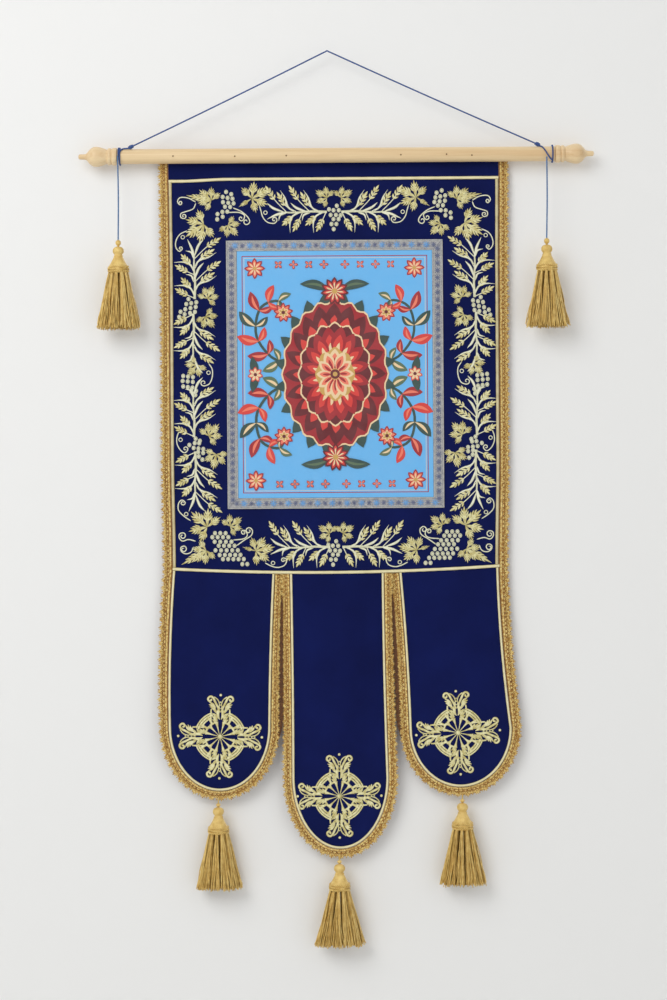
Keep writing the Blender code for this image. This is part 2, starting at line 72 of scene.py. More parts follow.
def addNode(tree, kind, inputs=None, out=0, **settings):
    # gives back one output of the new node, or all of them where out is None
    node = tree.nodes.new(kind)
    for key, value in settings.items():
        setattr(node, key, value)
    for key, value in (inputs or {}).items():
        setInput(tree, node.inputs[key], value)
    return node.outputs if out is None else node.outputs[out]


def addSum(tree, operation, a, b=0.0, c=0.0):
    return addNode(tree, "ShaderNodeMath", {0: a, 1: b, 2: c}, operation=operation)


def mixColour(tree, factor, a, b):
    return addNode(tree, "ShaderNodeMix", {0: factor, 6: a, 7: b}, 2, data_type="RGBA")


def newTree(name, kind, inputs, outputs):
    # the tree, what it is given, what it gives out, and makers of its nodes and sums
    tree = bpy.data.node_groups.new(name, kind)
    for direction, sockets in (("INPUT", inputs), ("OUTPUT", outputs)):
        for label, kindOfSocket, *default in sockets:
            socketType = "NodeSocket" + kindOfSocket
            socket = tree.interface.new_socket(label, in_out=direction, socket_type=socketType)
            if default:
                socket.default_value = default[0]
    start = tree.nodes.new("NodeGroupInput")
    end = tree.nodes.new("NodeGroupOutput")
    return tree, start.outputs, end.inputs, partial(addNode, tree), partial(addSum, tree)


# Shader groups that several finishes share

def makeMottleGroup():
    # slow, soft differences of tone over a surface
    tree, given, out, add, _ = newTree(
        "softMottle", "ShaderNodeTree",
        [("Vector", "Vector"), ("Scale", "Float", 60.0), ("Low", "Float", 0.0), ("High", "Float", 1.0)],
        [("Value", "Float")],
    )
    noise = add("ShaderNodeTexNoise", {"Vector": given["Vector"], "Scale": given["Scale"], "Detail": 4.0})
    spread = add("ShaderNodeMapRange", {
        "Value": noise, "From Min": 0.3, "From Max": 0.7, "To Min": given["Low"], "To Max": given["High"],
    })
    tree.links.new(spread, out["Value"])
    return tree


def makeStitchGroup():
    # threads laid side by side across a line: U runs along it and V across, in millimetres
    tree, given, out, add, calc = newTree(
        "laidThreads", "ShaderNodeTree",
        [("Vector", "Vector"), ("Width", "Float", 0.8), ("Slant", "Float", 0.5), ("Waver", "Float", 0.25)],
        [("Height", "Float")],
    )
    along, across, _ = add("ShaderNodeSeparateXYZ", {0: given["Vector"]}, None)
    along = calc("MULTIPLY_ADD", calc("ABSOLUTE", across), given["Slant"], along)
    noise = add("ShaderNodeTexNoise", {"Vector": given["Vector"], "Scale": 0.7, "Detail": 2.0})
    along = calc("MULTIPLY_ADD", noise, given["Waver"], along)
    wave = calc("SINE", calc("MULTIPLY", calc("DIVIDE", along, given["Width"]), tau))
    tree.links.new(calc("MULTIPLY_ADD", wave, 0.5, 0.5), out["Height"])
    return tree


mottleGroup = makeMottleGroup()
stitchGroup = makeStitchGroup()
finishes = {}


def mottle(tree, scale, high=1.0):
    place = objectPlace(tree)
    inputs = {"Vector": place, "Scale": scale, "Low": 0.0, "High": high}
    return addNode(tree, "ShaderNodeGroup", inputs, node_tree=mottleGroup)


def newFinish(name, **constants):
    made = bpy.data.materials.new(name)
    made.use_nodes = True
    tree = made.node_tree
    shader = tree.nodes["Principled BSDF"]
    for label, value in constants.items():
        setInput(tree, shader.inputs[label.replace("_", " ")], value)
    finishes[name] = made
    return tree, shader, partial(addNode, tree), partial(addSum, tree)


def coat(tree, shader, tone, relief, strength, depth):
    setInput(tree, shader.inputs["Base Color"], tone)
    inputs = {"Height": relief, "Strength": strength, "Distance": depth * mm}
    setInput(tree, shader.inputs["Normal"], addNode(tree, "ShaderNodeBump", inputs))


def objectPlace(tree):
    return addNode(tree, "ShaderNodeTexCoord", out="Object")


def readValue(tree, name, out="Fac"):
    return addNode(tree, "ShaderNodeAttribute", out=out, attribute_name=name, attribute_type="GEOMETRY")


# Finishes

plainThread = {"metal": 0.05, "roughness": 0.4, "thread": 0.75, "slant": 0.9, "mottle": 150.0, "bump": 0.5}
pipingThread = {
    "metal": 0.1, "roughness": 0.45, "thread": 1.1, "slant": 0.8, "mottle": 60.0, "bump": 0.4,
}
cordThread = {
    "patchySheen": 0.4, "grooveShade": 0.3, "metal": 0.0, "roughness": 0.6, "thread": 0.5, "slant": 0.0,
    "mottle": 200.0, "bump": 0.4,
}
threadLooks = {  # painted shade in the grooves, the thread's colour between and a painted highlight on the crest; then what a plain thread hasn't
    "paleEmbroidery": {
        "shadeToHighlight": ((0.10, 0.10, 0.05), (0.70, 0.69, 0.42), (1.0, 1.0, 0.80)),
        "patchySheen": 0.2, "grooveShade": 0.15,
    },
    "goldEmbroidery": {
        "shadeToHighlight": ((0.13, 0.10, 0.02), (0.70, 0.60, 0.22), (1.0, 0.96, 0.58)),
        "patchySheen": 0.5, "grooveShade": 0.25,
    },
    "goldLace": {
        "shadeToHighlight": ((0.13, 0.045, 0.006), (0.58, 0.30, 0.045), (1.0, 0.80, 0.31)),
        "patchySheen": 0.75, "grooveShade": 0.3, "thread": 0.8, "slant": 0.5, "mottle": 330.0,
    },
    "creamPiping": {
        "shadeToHighlight": ((0.33, 0.25, 0.07), (0.74, 0.63, 0.32), (0.93, 0.86, 0.55)),
        "patchySheen": 0.2, "grooveShade": 0.18, **pipingThread,
    },
    # painted shade: a darker copy of the cream piping for the field's upright sides
    "dullPiping": {
        "shadeToHighlight": ((0.20, 0.14, 0.045), (0.52, 0.42, 0.19), (0.74, 0.66, 0.40)),
        "patchySheen": 0.3, "grooveShade": 0.25, **pipingThread,
    },
    "blueCord": {
        "shadeToHighlight": ((0.01, 0.025, 0.10), (0.03, 0.075, 0.26), (0.055, 0.13, 0.40)),
        **cordThread,
    },
    "lightCord": {
        "shadeToHighlight": ((0.02, 0.06, 0.18), (0.07, 0.17, 0.38), (0.15, 0.30, 0.55)),
        **cordThread,
    },
    "goldSatin": {
        "shadeToHighlight": ((0.22, 0.11, 0.014), (0.68, 0.43, 0.10), (0.96, 0.72, 0.26)), "patchySheen": 0.35,
        "grooveShade": 0.15, "metal": 0.06, "thread": 0.7, "slant": 0.0, "mottle": 110.0, "bump": 0.3,
    },
    "silverThread": {
        "shadeToHighlight": ((0.16, 0.16, 0.17), (0.42, 0.42, 0.41), (0.62, 0.61, 0.57)),
        "patchySheen": 0.5, "grooveShade": 0.4, "metal": 0.3, "roughness": 0.45, "thread": 1.0, "slant": 0.6,
        "mottle": 200.0,
    },
}


def makeThreadFinish(name, look):
    # satin-stitched or wound thread: painted shade deep in its grooves and a painted highlight on its crest,
    # in patches of painted sheen
    deep, middle, highlight = look["shadeToHighlight"]
    tree, shader, add, calc = newFinish(name, Metallic=look["metal"], Roughness=look["roughness"])
    place = add("ShaderNodeUVMap", out="UV", uv_map="threads")
    inputs = {"Vector": place, "Width": look["thread"], "Slant": look["slant"]}
    rows = add("ShaderNodeGroup", inputs, "Height", node_tree=stitchGroup)
    # patches of painted sheen, lighter and darker
    soft = calc("MULTIPLY_ADD", mottle(tree, look["mottle"]), look["patchySheen"] * 1.4, 1 - look["patchySheen"])
    lit = calc("MULTIPLY", calc("POWER", readValue(tree, "crest"), 0.6), soft)
    tone = mixColour(tree, calc("MULTIPLY", lit, 2.0), deep, middle)
    tone = mixColour(tree, calc("MULTIPLY_ADD", lit, 2.0, -1.0), tone, highlight)
    # painted shade in the grooves between the laid threads
    tone = mixColour(tree, calc("MULTIPLY_ADD", rows, -look["grooveShade"], look["grooveShade"]), tone, deep)
    coat(tree, shader, tone, rows, look["bump"], look["thread"] * 0.5)


velvetLook = {
    "base": (0.0010, 0.0040, 0.053), "light": (0.0026, 0.0076, 0.082),
    "sheen": 0.12, "sheenTint": (0.05, 0.14, 0.62), "roughness": 0.85, "pile": 0.3, "napScale": 9.0,
    "pileScale": 900.0,
}


def makeVelvet(look):
    tree, shader, _, calc = newFinish(
        "navyVelvet", Roughness=look["roughness"], Sheen_Weight=look["sheen"], Sheen_Roughness=0.4,
        Sheen_Tint=look["sheenTint"], Specular_IOR_Level=0.15,
    )
    pile = mottle(tree, look["pileScale"])
    tone = mixColour(tree, mottle(tree, look["napScale"]), look["base"], look["light"])
    tone = mixColour(tree, calc("MULTIPLY", pile, look["pile"]), tone, look["light"])
    coat(tree, shader, tone, pile, look["pile"], 0.3)


birchLook = {
    "pale": (0.83, 0.64, 0.38), "grain": (0.66, 0.44, 0.22), "ringScale": 55.0, "stretch": (0.02, 1.0, 1.0),
    "roughness": 0.45, "wax": 0.15,
}


def makeBirch(look):
    tree, shader, add, calc = newFinish(
        "birch", Roughness=look["roughness"], Coat_Weight=look["wax"], Coat_Roughness=0.35,
    )
    place = add("ShaderNodeMapping", {"Vector": objectPlace(tree), "Scale": look["stretch"]})
    rings = add("ShaderNodeTexNoise", {"Vector": place, "Scale": look["ringScale"], "Detail": 5.0})
    fine = add("ShaderNodeTexNoise", {"Vector": place, "Scale": look["ringScale"] * 9, "Detail": 3.0})
    grain = calc("MULTIPLY_ADD", fine, 0.4, rings)
    share = add("ShaderNodeMapRange", {"Value": grain, "From Min": 0.55, "From Max": 0.95})
    coat(tree, shader, mixColour(tree, share, look["pale"], look["grain"]), grain, 0.15, 0.2)


printLook = {
    "weaveScale": 1500.0, "rub": 0.03, "rubTone": (0.75, 0.72, 0.66), "roughness": 0.55, "sheen": 0.08,
}


def makePrint(look):
    # printed cloth: the dyes are an attribute of the print's own shapes
    tree, shader, add, _ = newFinish("printedCloth", Roughness=look["roughness"], Sheen_Weight=look["sheen"])
    inputs = {"Vector": objectPlace(tree), "Scale": look["weaveScale"]}
    weave = add("ShaderNodeTexWave", inputs, "Fac")
    tone = mixColour(tree, mottle(tree, 40.0, look["rub"]), readValue(tree, "dye", "Color"), look["rubTone"])
    coat(tree, shader, tone, weave, 0.15, 0.15)


braidLook = {
    "dark": (0.17, 0.18, 0.22), "light": (0.54, 0.53, 0.52), "check": (0.22, 0.23, 0.26), "checkScale": 700.0,
}


def makeBraidGround(look):
    tree, shader, add, calc = newFinish("silverGround", Roughness=0.5, Metallic=0.25)
    turned = add("ShaderNodeMapping", {"Vector": objectPlace(tree), "Rotation": (0, math.radians(45), 0)})
    checks = add("ShaderNodeTexChecker", {"Vector": turned, "Scale": look["checkScale"]}, "Fac")
    tone = mixColour(tree, mottle(tree, 300.0), look["dark"], look["light"])
    tone = mixColour(tree, calc("MULTIPLY", checks, 0.35), tone, look["check"])
    coat(tree, shader, tone, checks, 0.3, 0.2)


dyedLooks = {  # small raised motifs and nails: dark tone, light tone, roughness, metal
    "braidBlue": ((0.09, 0.24, 0.52), (0.20, 0.42, 0.72), 0.5, 0.2),
    "braidSlate": ((0.08, 0.10, 0.18), (0.17, 0.19, 0.29), 0.5, 0.2),
    # the lace's ground net; its dark tone is partly painted shade in the openings of the openwork
    "laceGround": ((0.11, 0.035, 0.006), (0.50, 0.24, 0.05), 0.5, 0.2),
    # painted shade: a near-black brown sheet for the narrow gaps between the laces
    "laceFold": ((0.035, 0.010, 0.002), (0.17, 0.06, 0.010), 0.5, 0.2),
    "brownNail": ((0.12, 0.06, 0.02), (0.22, 0.12, 0.05), 0.35, 0.6),
}


def makeDyed(name, low, high, roughness, metal):
    tree, shader, _, _ = newFinish(name, Roughness=roughness, Metallic=metal)
    setInput(tree, shader.inputs["Base Color"], mixColour(tree, mottle(tree, 400.0), low, high))


for name, look in threadLooks.items():
    makeThreadFinish(name, {**plainThread, **look})
makeVelvet(velvetLook)
makeBirch(birchLook)
makePrint(printLook)
makeBraidGround(braidLook)
for name, look in dyedLooks.items():
    makeDyed(name, *look)
print("finishes made")


# The banner's own shape, as the solids have it

banner = {
    "rodRadius": 14.0, "rodZ": -198.5, "rodLeft": -399.3, "rodRight": 431.3, "gap": 0.4,
    "clothThick": 2.4, "clothTop": -192.5,
    "sideEdges": (  # z, left edge, right edge
        (-190.0, -304.0, 325.0), (-420.0, -302.6, 323.6), (-760.0, -302.8, 323.4), (-985.0, -300.5, 320.0),
    ),
    "seamLeft": -982.5, "seamRight": -980.5, "seamSag": 9.5,
    "leanTop": -1000.0, "leanBottom": -1400.0, "leanDepth": 11.0,
}
gap = banner["gap"]
clothFront = banner["rodRadius"] + gap
lappets = {  # both edges at the seam and at the arc, how far each bows, where the arc starts and ends
    "Left": ((-300.5, -106.0), (-310.0, -115.8), (-3.6, -1.6), -1283.0, -1404.5),
    "Middle": ((-77.9, 101.9), (-75.8, 108.0), (0.8, -1.4), -1380.0, -1516.0),
    "Right": ((130.0, 320.0), (147.6, 342.8), (2.4, -4.0), -1288.0, -1400.0),
}
folds = (  # x, z, half width, half height, depth
    (-258.0, -470.0, 32.0, 170.0, 2.6), (-256.0, -820.0, 33.0, 150.0, 3.2),
    (280.0, -430.0, 32.0, 160.0, 2.8), (276.0, -790.0, 33.0, 150.0, 3.2),
    (-238.0, -1140.0, 52.0, 150.0, 5.0), (-170.0, -1330.0, 60.0, 110.0, 3.2),
    (42.0, -1180.0, 48.0, 170.0, 4.2), (-16.0, -1430.0, 58.0, 110.0, 3.4),
    (262.0, -1120.0, 56.0, 140.0, 5.4), (206.0, -1310.0, 56.0, 110.0, 3.4),
)
creases = (  # the same for the finer creases that only the looks have
    (-286.0, -1080.0, 10.0, 120.0, 0.9), (-196.0, -1060.0, 14.0, 90.0, -0.8),
    (-128.0, -1120.0, 12.0, 110.0, 0.8), (-55.0, -1120.0, 12.0, 130.0, 0.8),
    (8.0, -1080.0, 13.0, 100.0, -0.8), (86.0, -1160.0, 11.0, 140.0, 0.8),
    (150.0, -1100.0, 12.0, 110.0, 0.9), (214.0, -1070.0, 14.0, 90.0, -0.8),
    (308.0, -1090.0, 10.0, 120.0, 0.9),
)


def smooth(t):
    t = np.clip(t, 0.0, 1.0)
    return t * t * (3 - 2 * t)


def drape(x, z):
    # how far the velvet stands out here; takes numbers or arrays
    swell = sum(
        depth * np.exp(-(((x - narrowGapX) / wide) ** 2) - ((z - narrowGapZ) / high) ** 2)
        for narrowGapX, narrowGapZ, wide, high, depth in folds + creases
    )
    low = (banner["leanTop"] - z) / (banner["leanTop"] - banner["leanBottom"])
    return swell + banner["leanDepth"] * smooth(low)


def seamZ(x):
    left, right = banner["sideEdges"][-1][1:]
    t = (x - left) / (right - left)
    level = banner["seamLeft"] + (banner["seamRight"] - banner["seamLeft"]) * t
    return level - banner["seamSag"] * 4 * t * (1 - t)


def fieldEdges(z):
    rows = banner["sideEdges"]
    for (z0, left0, right0), (z1, left1, right1) in zip(rows, rows[1:]):
        if z >= z1 or z1 == rows[-1][0]:
            t = float(smooth((z - z0) / (z1 - z0)))
            return left0 + (left1 - left0) * t, right0 + (right1 - right0) * t


def lappetEdges(name, z):
    tops, arcs, bows, arcZ, _ = lappets[name]
    topZ = seamZ((tops[0] + tops[1]) / 2)
    t = max(0.0, min(1.0, (z - topZ) / (arcZ - topZ)))
    return [top + (arc - top) * t + bow * 4 * t * (1 - t) for top, arc, bow in zip(tops, arcs, bows)]


def lappetArc(name, angle):
    arcZ, endZ = lappets[name][3:]
    left, right = lappetEdges(name, arcZ)
    return (left + right) / 2 - (right - left) / 2 * math.cos(angle), arcZ - (arcZ - endZ) * math.sin(angle)


# Where the photograph shows a thing, as a place on the banner

photoFrame = {"originX": 327.0, "originY": 51.0, "mmPerPixel": 1.9, "turn": math.radians(0.392)}


def fromPhoto(px, py):
    u, v = px - photoFrame["originX"], py - photoFrame["originY"]
    cosine, sine, size = math.cos(photoFrame["turn"]), math.sin(photoFrame["turn"]), photoFrame["mmPerPixel"]
    return (u * cosine - v * sine) * size, -(u * sine + v * cosine) * size


# Mesh building

def newShape():
    return {"points": [], "faces": [], "uv": [], "crest": []}


def heading(angle):
    return np.array((math.cos(angle), math.sin(angle)))


def circle(radius, sides):
    return [tuple(radius * heading(tau * k / sides)) for k in range(sides)]


def addRing(shape, points, uvs, paintedLights):
    start = len(shape["points"])
    shape["points"] += points
    shape["uv"] += uvs
    shape["crest"] += paintedLights
    return list(range(start, start + len(points)))


def addLayers(shape, layers, closed=False):
    # rings of (points, uvs, painted light) joined by walls, with caps where they don't close on themselves
    rings = [addRing(shape, *layer) for layer in layers]
    for low, high in zip(rings, rings[1:] + rings[:1] if closed else rings[1:]):
        for i in range(len(low)):
            j = (i + 1) % len(low)
            shape["faces"].append((low[i], low[j], high[j], high[i]))
    if not closed:
        shape["faces"] += [tuple(reversed(rings[0])), tuple(rings[-1])]


# Ways to turn a drawing into places in metres

def onVelvet(points):
    x, z, height = np.array(points, float).T
    return np.stack((x, clothFront - drape(x, z) - height, z), axis=1) * mm


def onPlane(points):
    # in front of the velvet on one plane, as the panel lies
    x, z, height = np.array(points, float).T
    return np.stack((x, clothFront - height, z), axis=1) * mm


def facingFront(points):
    x, z, height = np.array(points, float).T
    return np.stack((x, -height, z), axis=1) * mm


def inSpace(points):
    return np.array(points, float) * mm


def facesOutward(mesh, smoothDegrees):
    bm = bmesh.new()
    bm.from_mesh(mesh)
    bmesh.ops.recalc_face_normals(bm, faces=bm.faces)
    bm.to_mesh(mesh)
    bm.free()
    mesh.shade_smooth()
    mesh.set_sharp_from_angle(angle=math.radians(smoothDegrees))


def makeMesh(name, shape, place, smoothDegrees=50):
    mesh = bpy.data.meshes.new(name)
    mesh.from_pydata(place(shape["points"]).tolist(), [], shape["faces"])
    corners = np.empty(len(mesh.loops), dtype=np.int32)
    mesh.loops.foreach_get("vertex_index", corners)
    uvs = np.array(shape["uv"], dtype=np.float32)[corners]
    mesh.uv_layers.new(name="threads").data.foreach_set("uv", uvs.ravel())
    # painted light for the thread finishes: low for painted shade, high for a painted highlight
    crest = mesh.attributes.new("crest", "FLOAT", "POINT")
    crest.data.foreach_set("value", np.array(shape["crest"], dtype=np.float32))
    if "dye" in shape:
        dye = mesh.attributes.new("dye", "FLOAT_COLOR", "POINT")
        dye.data.foreach_set("color", np.array(shape["dye"], dtype=np.float32).ravel())
    facesOutward(mesh, smoothDegrees)
    return mesh


def linked(name, data):
    item = bpy.data.objects.new(name, data)
    bpy.context.scene.collection.objects.link(item)
    return item


def addPiece(name, made, finish, slotName, *nodes, place=onVelvet, smoothDegrees=50):
    # made is a shape to lay out, or a mesh that is ready
    mesh = makeMesh(name, made, place, smoothDegrees) if isinstance(made, dict) else made
    piece = linked(name, mesh)
    mesh.name = name
    mesh.materials.clear()
    mesh.materials.append(finishes[finish])
    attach(piece, "root")
    if nodes:
        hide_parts(*nodes)
    return piece


def curveThrough(points, count):
    # places at even steps on a smooth curve through the given ones
    points = [np.array(point, float) for point in points]
    padded = [2 * points[0] - points[1], *points, 2 * points[-1] - points[-2]]
    found = []
    for k in range(count + 1):
        place = min(k / count * (len(points) - 1), len(points) - 1 - 1e-9)
        i, t = int(place), place - int(place)
        a, b, c, d = padded[i:i + 4]
        bend = (2 * a - 5 * b + 4 * c - d) * t * t + (3 * b - a - 3 * c + d) * t**3
        found.append(0.5 * (2 * b + (c - a) * t + bend))
    return found


def evenly(points, step):
    # the same line with a place every step or so
    points = np.array(points, float)
    lengths = np.concatenate(([0.0], np.cumsum(np.linalg.norm(np.diff(points, axis=0), axis=1))))
    count = max(1, round(lengths[-1] / step))
    wanted = np.linspace(0, lengths[-1], count + 1)
    return np.stack([np.interp(wanted, lengths, points[:, k]) for k in range(points.shape[1])], axis=1)


def directions(points, closed=False):
    points = np.array(points, float)
    if closed:
        ahead, before = np.roll(points, -1, axis=0), np.roll(points, 1, axis=0)
    else:
        ahead = np.vstack((points[1:], points[-1:]))
        before = np.vstack((points[:1], points[:-1]))
    along = ahead - before
    return along / np.maximum(np.linalg.norm(along, axis=1, keepdims=True), 1e-9)


padSection = ((-1.0, 0.0), (-0.93, 0.5), (-0.5, 0.95), (0.0, 1.0), (0.5, 0.95), (0.93, 0.5), (1.0, 0.0))
veinSection = ((-1.0, 0.0), (-0.9, 0.55), (-0.45, 1.0), (0.0, 0.55), (0.45, 1.0), (0.9, 0.55), (1.0, 0.0))
cordSection = ((-1.0, 0.1), (-0.7, 0.75), (0.0, 1.0), (0.7, 0.75), (1.0, 0.1))


def addPad(shape, spine, widths, height, base=0.2, section=padSection, closed=False):
    # a raised stitched band along a flat line; widths are half widths
    spine = np.array(spine, float)
    steps = np.linalg.norm(np.diff(spine, axis=0), axis=1)
    lengths = np.concatenate(([0.0], np.cumsum(steps)))
    widest = max(widths)
    layers = []
    for place, run, width, length in zip(spine, directions(spine, closed), widths, lengths):
        side = (-run[1], run[0])
        lift = height * (0.35 + 0.65 * min(1.0, width / widest) ** 0.7)
        points = [
            (place[0] + side[0] * width * out, place[1] + side[1] * width * out, base + lift * up)
            for out, up in section
        ]
        # the section's height is kept as painted light: painted shade at the band's sides, a painted
        # highlight along its top
        layers.append((points, [(length, width * out) for out, _ in section], [up for _, up in section]))
    addLayers(shape, layers, closed)


def addCord(shape, spine, width, height, base, section=padSection):
    # the same with one width all along
    addPad(shape, spine, [width] * len(spine), height, base, section)


def addBlade(shape, spine, width, height, steps=5, base=0.2, section=padSection, tip=0.12, full=0.45):
    # pointed at both ends, widest at the share called full
    line = curveThrough(spine, steps)
    widths = []
    for k in range(steps + 1):
        t = k / steps
        share = t / full if t < full else (1 - t) / (1 - full)
        widths.append(width * max(tip, math.sin(share * math.pi / 2) ** 0.8))
    addPad(shape, line, widths, height, base, section)


def mirrored(shape, axisX):
    made = dict(shape)
    made["points"] = [(2 * axisX - x, z, height) for x, z, height in shape["points"]]
    made["faces"] = [tuple(reversed(face)) for face in shape["faces"]]
    return made


def joined(*shapes):
    made = newShape()
    for shape in shapes:
        start = len(made["points"])
        made["points"] += list(shape["points"])
        made["uv"] += list(shape["uv"])
        made["crest"] += list(shape["crest"])
        made["faces"] += [tuple(i + start for i in face) for face in shape["faces"]]
    return made


def addTurned(shape, profile, sides, ripple=None):
    # a shape turned round Z: profile of (height, radius), top first; ripple changes the radius with the angle
    layers = []
    run = 0.0
    for number, (z, radius) in enumerate(profile):
        if number:
            run += math.hypot(z - profile[number - 1][0], radius - profile[number - 1][1])
        points, uvs, paintedLights = [], [], []
        for k in range(sides):
            angle = tau * k / sides
            share = ripple(angle, z) if ripple else 0.0
            points.append((*(radius * (1 + share) * heading(angle)), z))
            uvs.append((angle * max(radius, 1.0), run))
            # painted highlight on the raised windings, painted shade between them
            paintedLights.append(0.75 + 4 * share)
        layers.append((points, uvs, paintedLights))
    addLayers(shape, layers)


def addTube(shape, points, radius, sides=6, closed=False, lobes=0, pitch=8.0, hollow=0.2):
    # a round or twisted tube along a line in space; with lobes it shows its strands
    points = np.array(points, float)
    along = directions(points, closed)
    side = np.cross(along[0], (0.3, 0.5, 0.81))
    side /= np.linalg.norm(side)
    layers = []
    length = 0.0
    for number, (place, run) in enumerate(zip(points, along)):
        if number:
            length += np.linalg.norm(place - points[number - 1])
        side = side - run * np.dot(side, run)
        side /= np.linalg.norm(side)
        other = np.cross(run, side)
        turn = tau * length / pitch if lobes else 0.0
        ring, uvs, paintedLights = [], [], []
        for k in range(sides):
            angle = tau * k / sides
            swell = abs(math.cos(lobes * angle / 2)) if lobes else 1.0
            reach = radius * (1 - hollow * (1 - swell))
            offset = side * math.cos(angle + turn) + other * math.sin(angle + turn)
            ring.append(tuple(place + offset * reach))
            uvs.append((length, angle * radius))
            # painted highlight on each strand, painted shade between the strands
            paintedLights.append(0.35 + 0.5 * swell if lobes else 0.7)
        layers.append((ring, uvs, paintedLights))
    addLayers(shape, layers, closed)


# Geometry node trees

def makeMotifTree():
    # puts a motif on every point, turned and sized by the point's own values
    tree, given, out, add, calc = newTree(
        "motifOnPoints", "GeometryNodeTree",
        [("Geometry", "Geometry"), ("Motif", "Object"), ("Scale", "Float", 1.0), ("Finish", "Material")],
        [("Geometry", "Geometry")],
    )
    motif = add("GeometryNodeObjectInfo", {"Object": given["Motif"]}, "Geometry")
    turn, size = (
        add("GeometryNodeInputNamedAttribute", {"Name": name}, data_type="FLOAT") for name in ("turn", "size")
    )
    euler = add("ShaderNodeCombineXYZ", {"Y": calc("MULTIPLY", turn, -1.0)})
    turned = add("FunctionNodeEulerToRotation", {0: euler})
    placed = add("GeometryNodeInstanceOnPoints", {
        "Points": given["Geometry"], "Instance": motif, "Rotation": turned,
        "Scale": calc("MULTIPLY", size, given["Scale"]),
    })
    real = add("GeometryNodeRealizeInstances", {"Geometry": placed})
    done = add("GeometryNodeSetMaterial", {"Geometry": real, "Material": given["Finish"]})
    tree.links.new(done, out["Geometry"])
    return tree


def makePathTree():
    # repeats a unit along a line and bends each copy to it: X along, Y outwards, Z to the front;
    # the line's own values, called edge, give the share kept of its teeth and how far the unit is moved out
    tree, given, out, add, calc = newTree(
        "unitAlongPath", "GeometryNodeTree",
        [("Geometry", "Geometry"), ("Unit", "Object"), ("Count", "Int", 10), ("Pitch", "Float", 0.0145),
         ("Side", "Float", 1.0), ("Body", "Float", 0.013), ("Finish", "Material")],
        [("Geometry", "Geometry")],
    )
    line = add("GeometryNodeMeshToCurve", {"Mesh": given["Geometry"]})
    unit = add("GeometryNodeObjectInfo", {"Object": given["Unit"]}, "Geometry")
    step = add("ShaderNodeCombineXYZ", {"X": given["Pitch"]})
    row = add("GeometryNodeMeshLine", {"Count": given["Count"], "Offset": step})
    copies = add("GeometryNodeInstanceOnPoints", {"Points": row, "Instance": unit})
    real = add("GeometryNodeRealizeInstances", {"Geometry": copies})
    along, outwards, height = add("ShaderNodeSeparateXYZ", {0: add("GeometryNodeInputPosition")}, None)
    share = calc("DIVIDE", along, calc("MULTIPLY", given["Count"], given["Pitch"]))
    edge = add("GeometryNodeInputNamedAttribute", {"Name": "edge"}, data_type="FLOAT_VECTOR")
    sample = add("GeometryNodeSampleCurve", {"Value": edge, "Curves": line, "Factor": share}, None,
                 mode="FACTOR", data_type="FLOAT_VECTOR")
    vector = partial(add, "ShaderNodeVectorMath")
    across = vector({0: sample["Tangent"], 1: (0.0, -1.0, 0.0)}, operation="CROSS_PRODUCT")
    across = vector({0: across}, operation="NORMALIZE")
    kept, shift, _ = add("ShaderNodeSeparateXYZ", {0: sample["Value"]}, None)
    body = calc("MINIMUM", outwards, given["Body"])
    tooth = calc("MULTIPLY", calc("SUBTRACT", outwards, body), kept)
    reach = calc("MULTIPLY", calc("ADD", calc("ADD", body, tooth), shift), given["Side"])
    front = add("ShaderNodeCombineXYZ", {"Y": calc("MULTIPLY", height, -1.0)})
    moved = vector({0: across, "Scale": reach}, operation="SCALE")
    for other in (sample["Position"], front):
        moved = vector({0: moved, 1: other}, operation="ADD")
    bent = add("GeometryNodeSetPosition", {"Geometry": real, "Position": moved})
    done = add("GeometryNodeSetMaterial", {"Geometry": bent, "Material": given["Finish"]})
    tree.links.new(done, out["Geometry"])
    return tree


goldenTurn = 2.399963  # radians from one strand to the next, so that they fill the skirt evenly


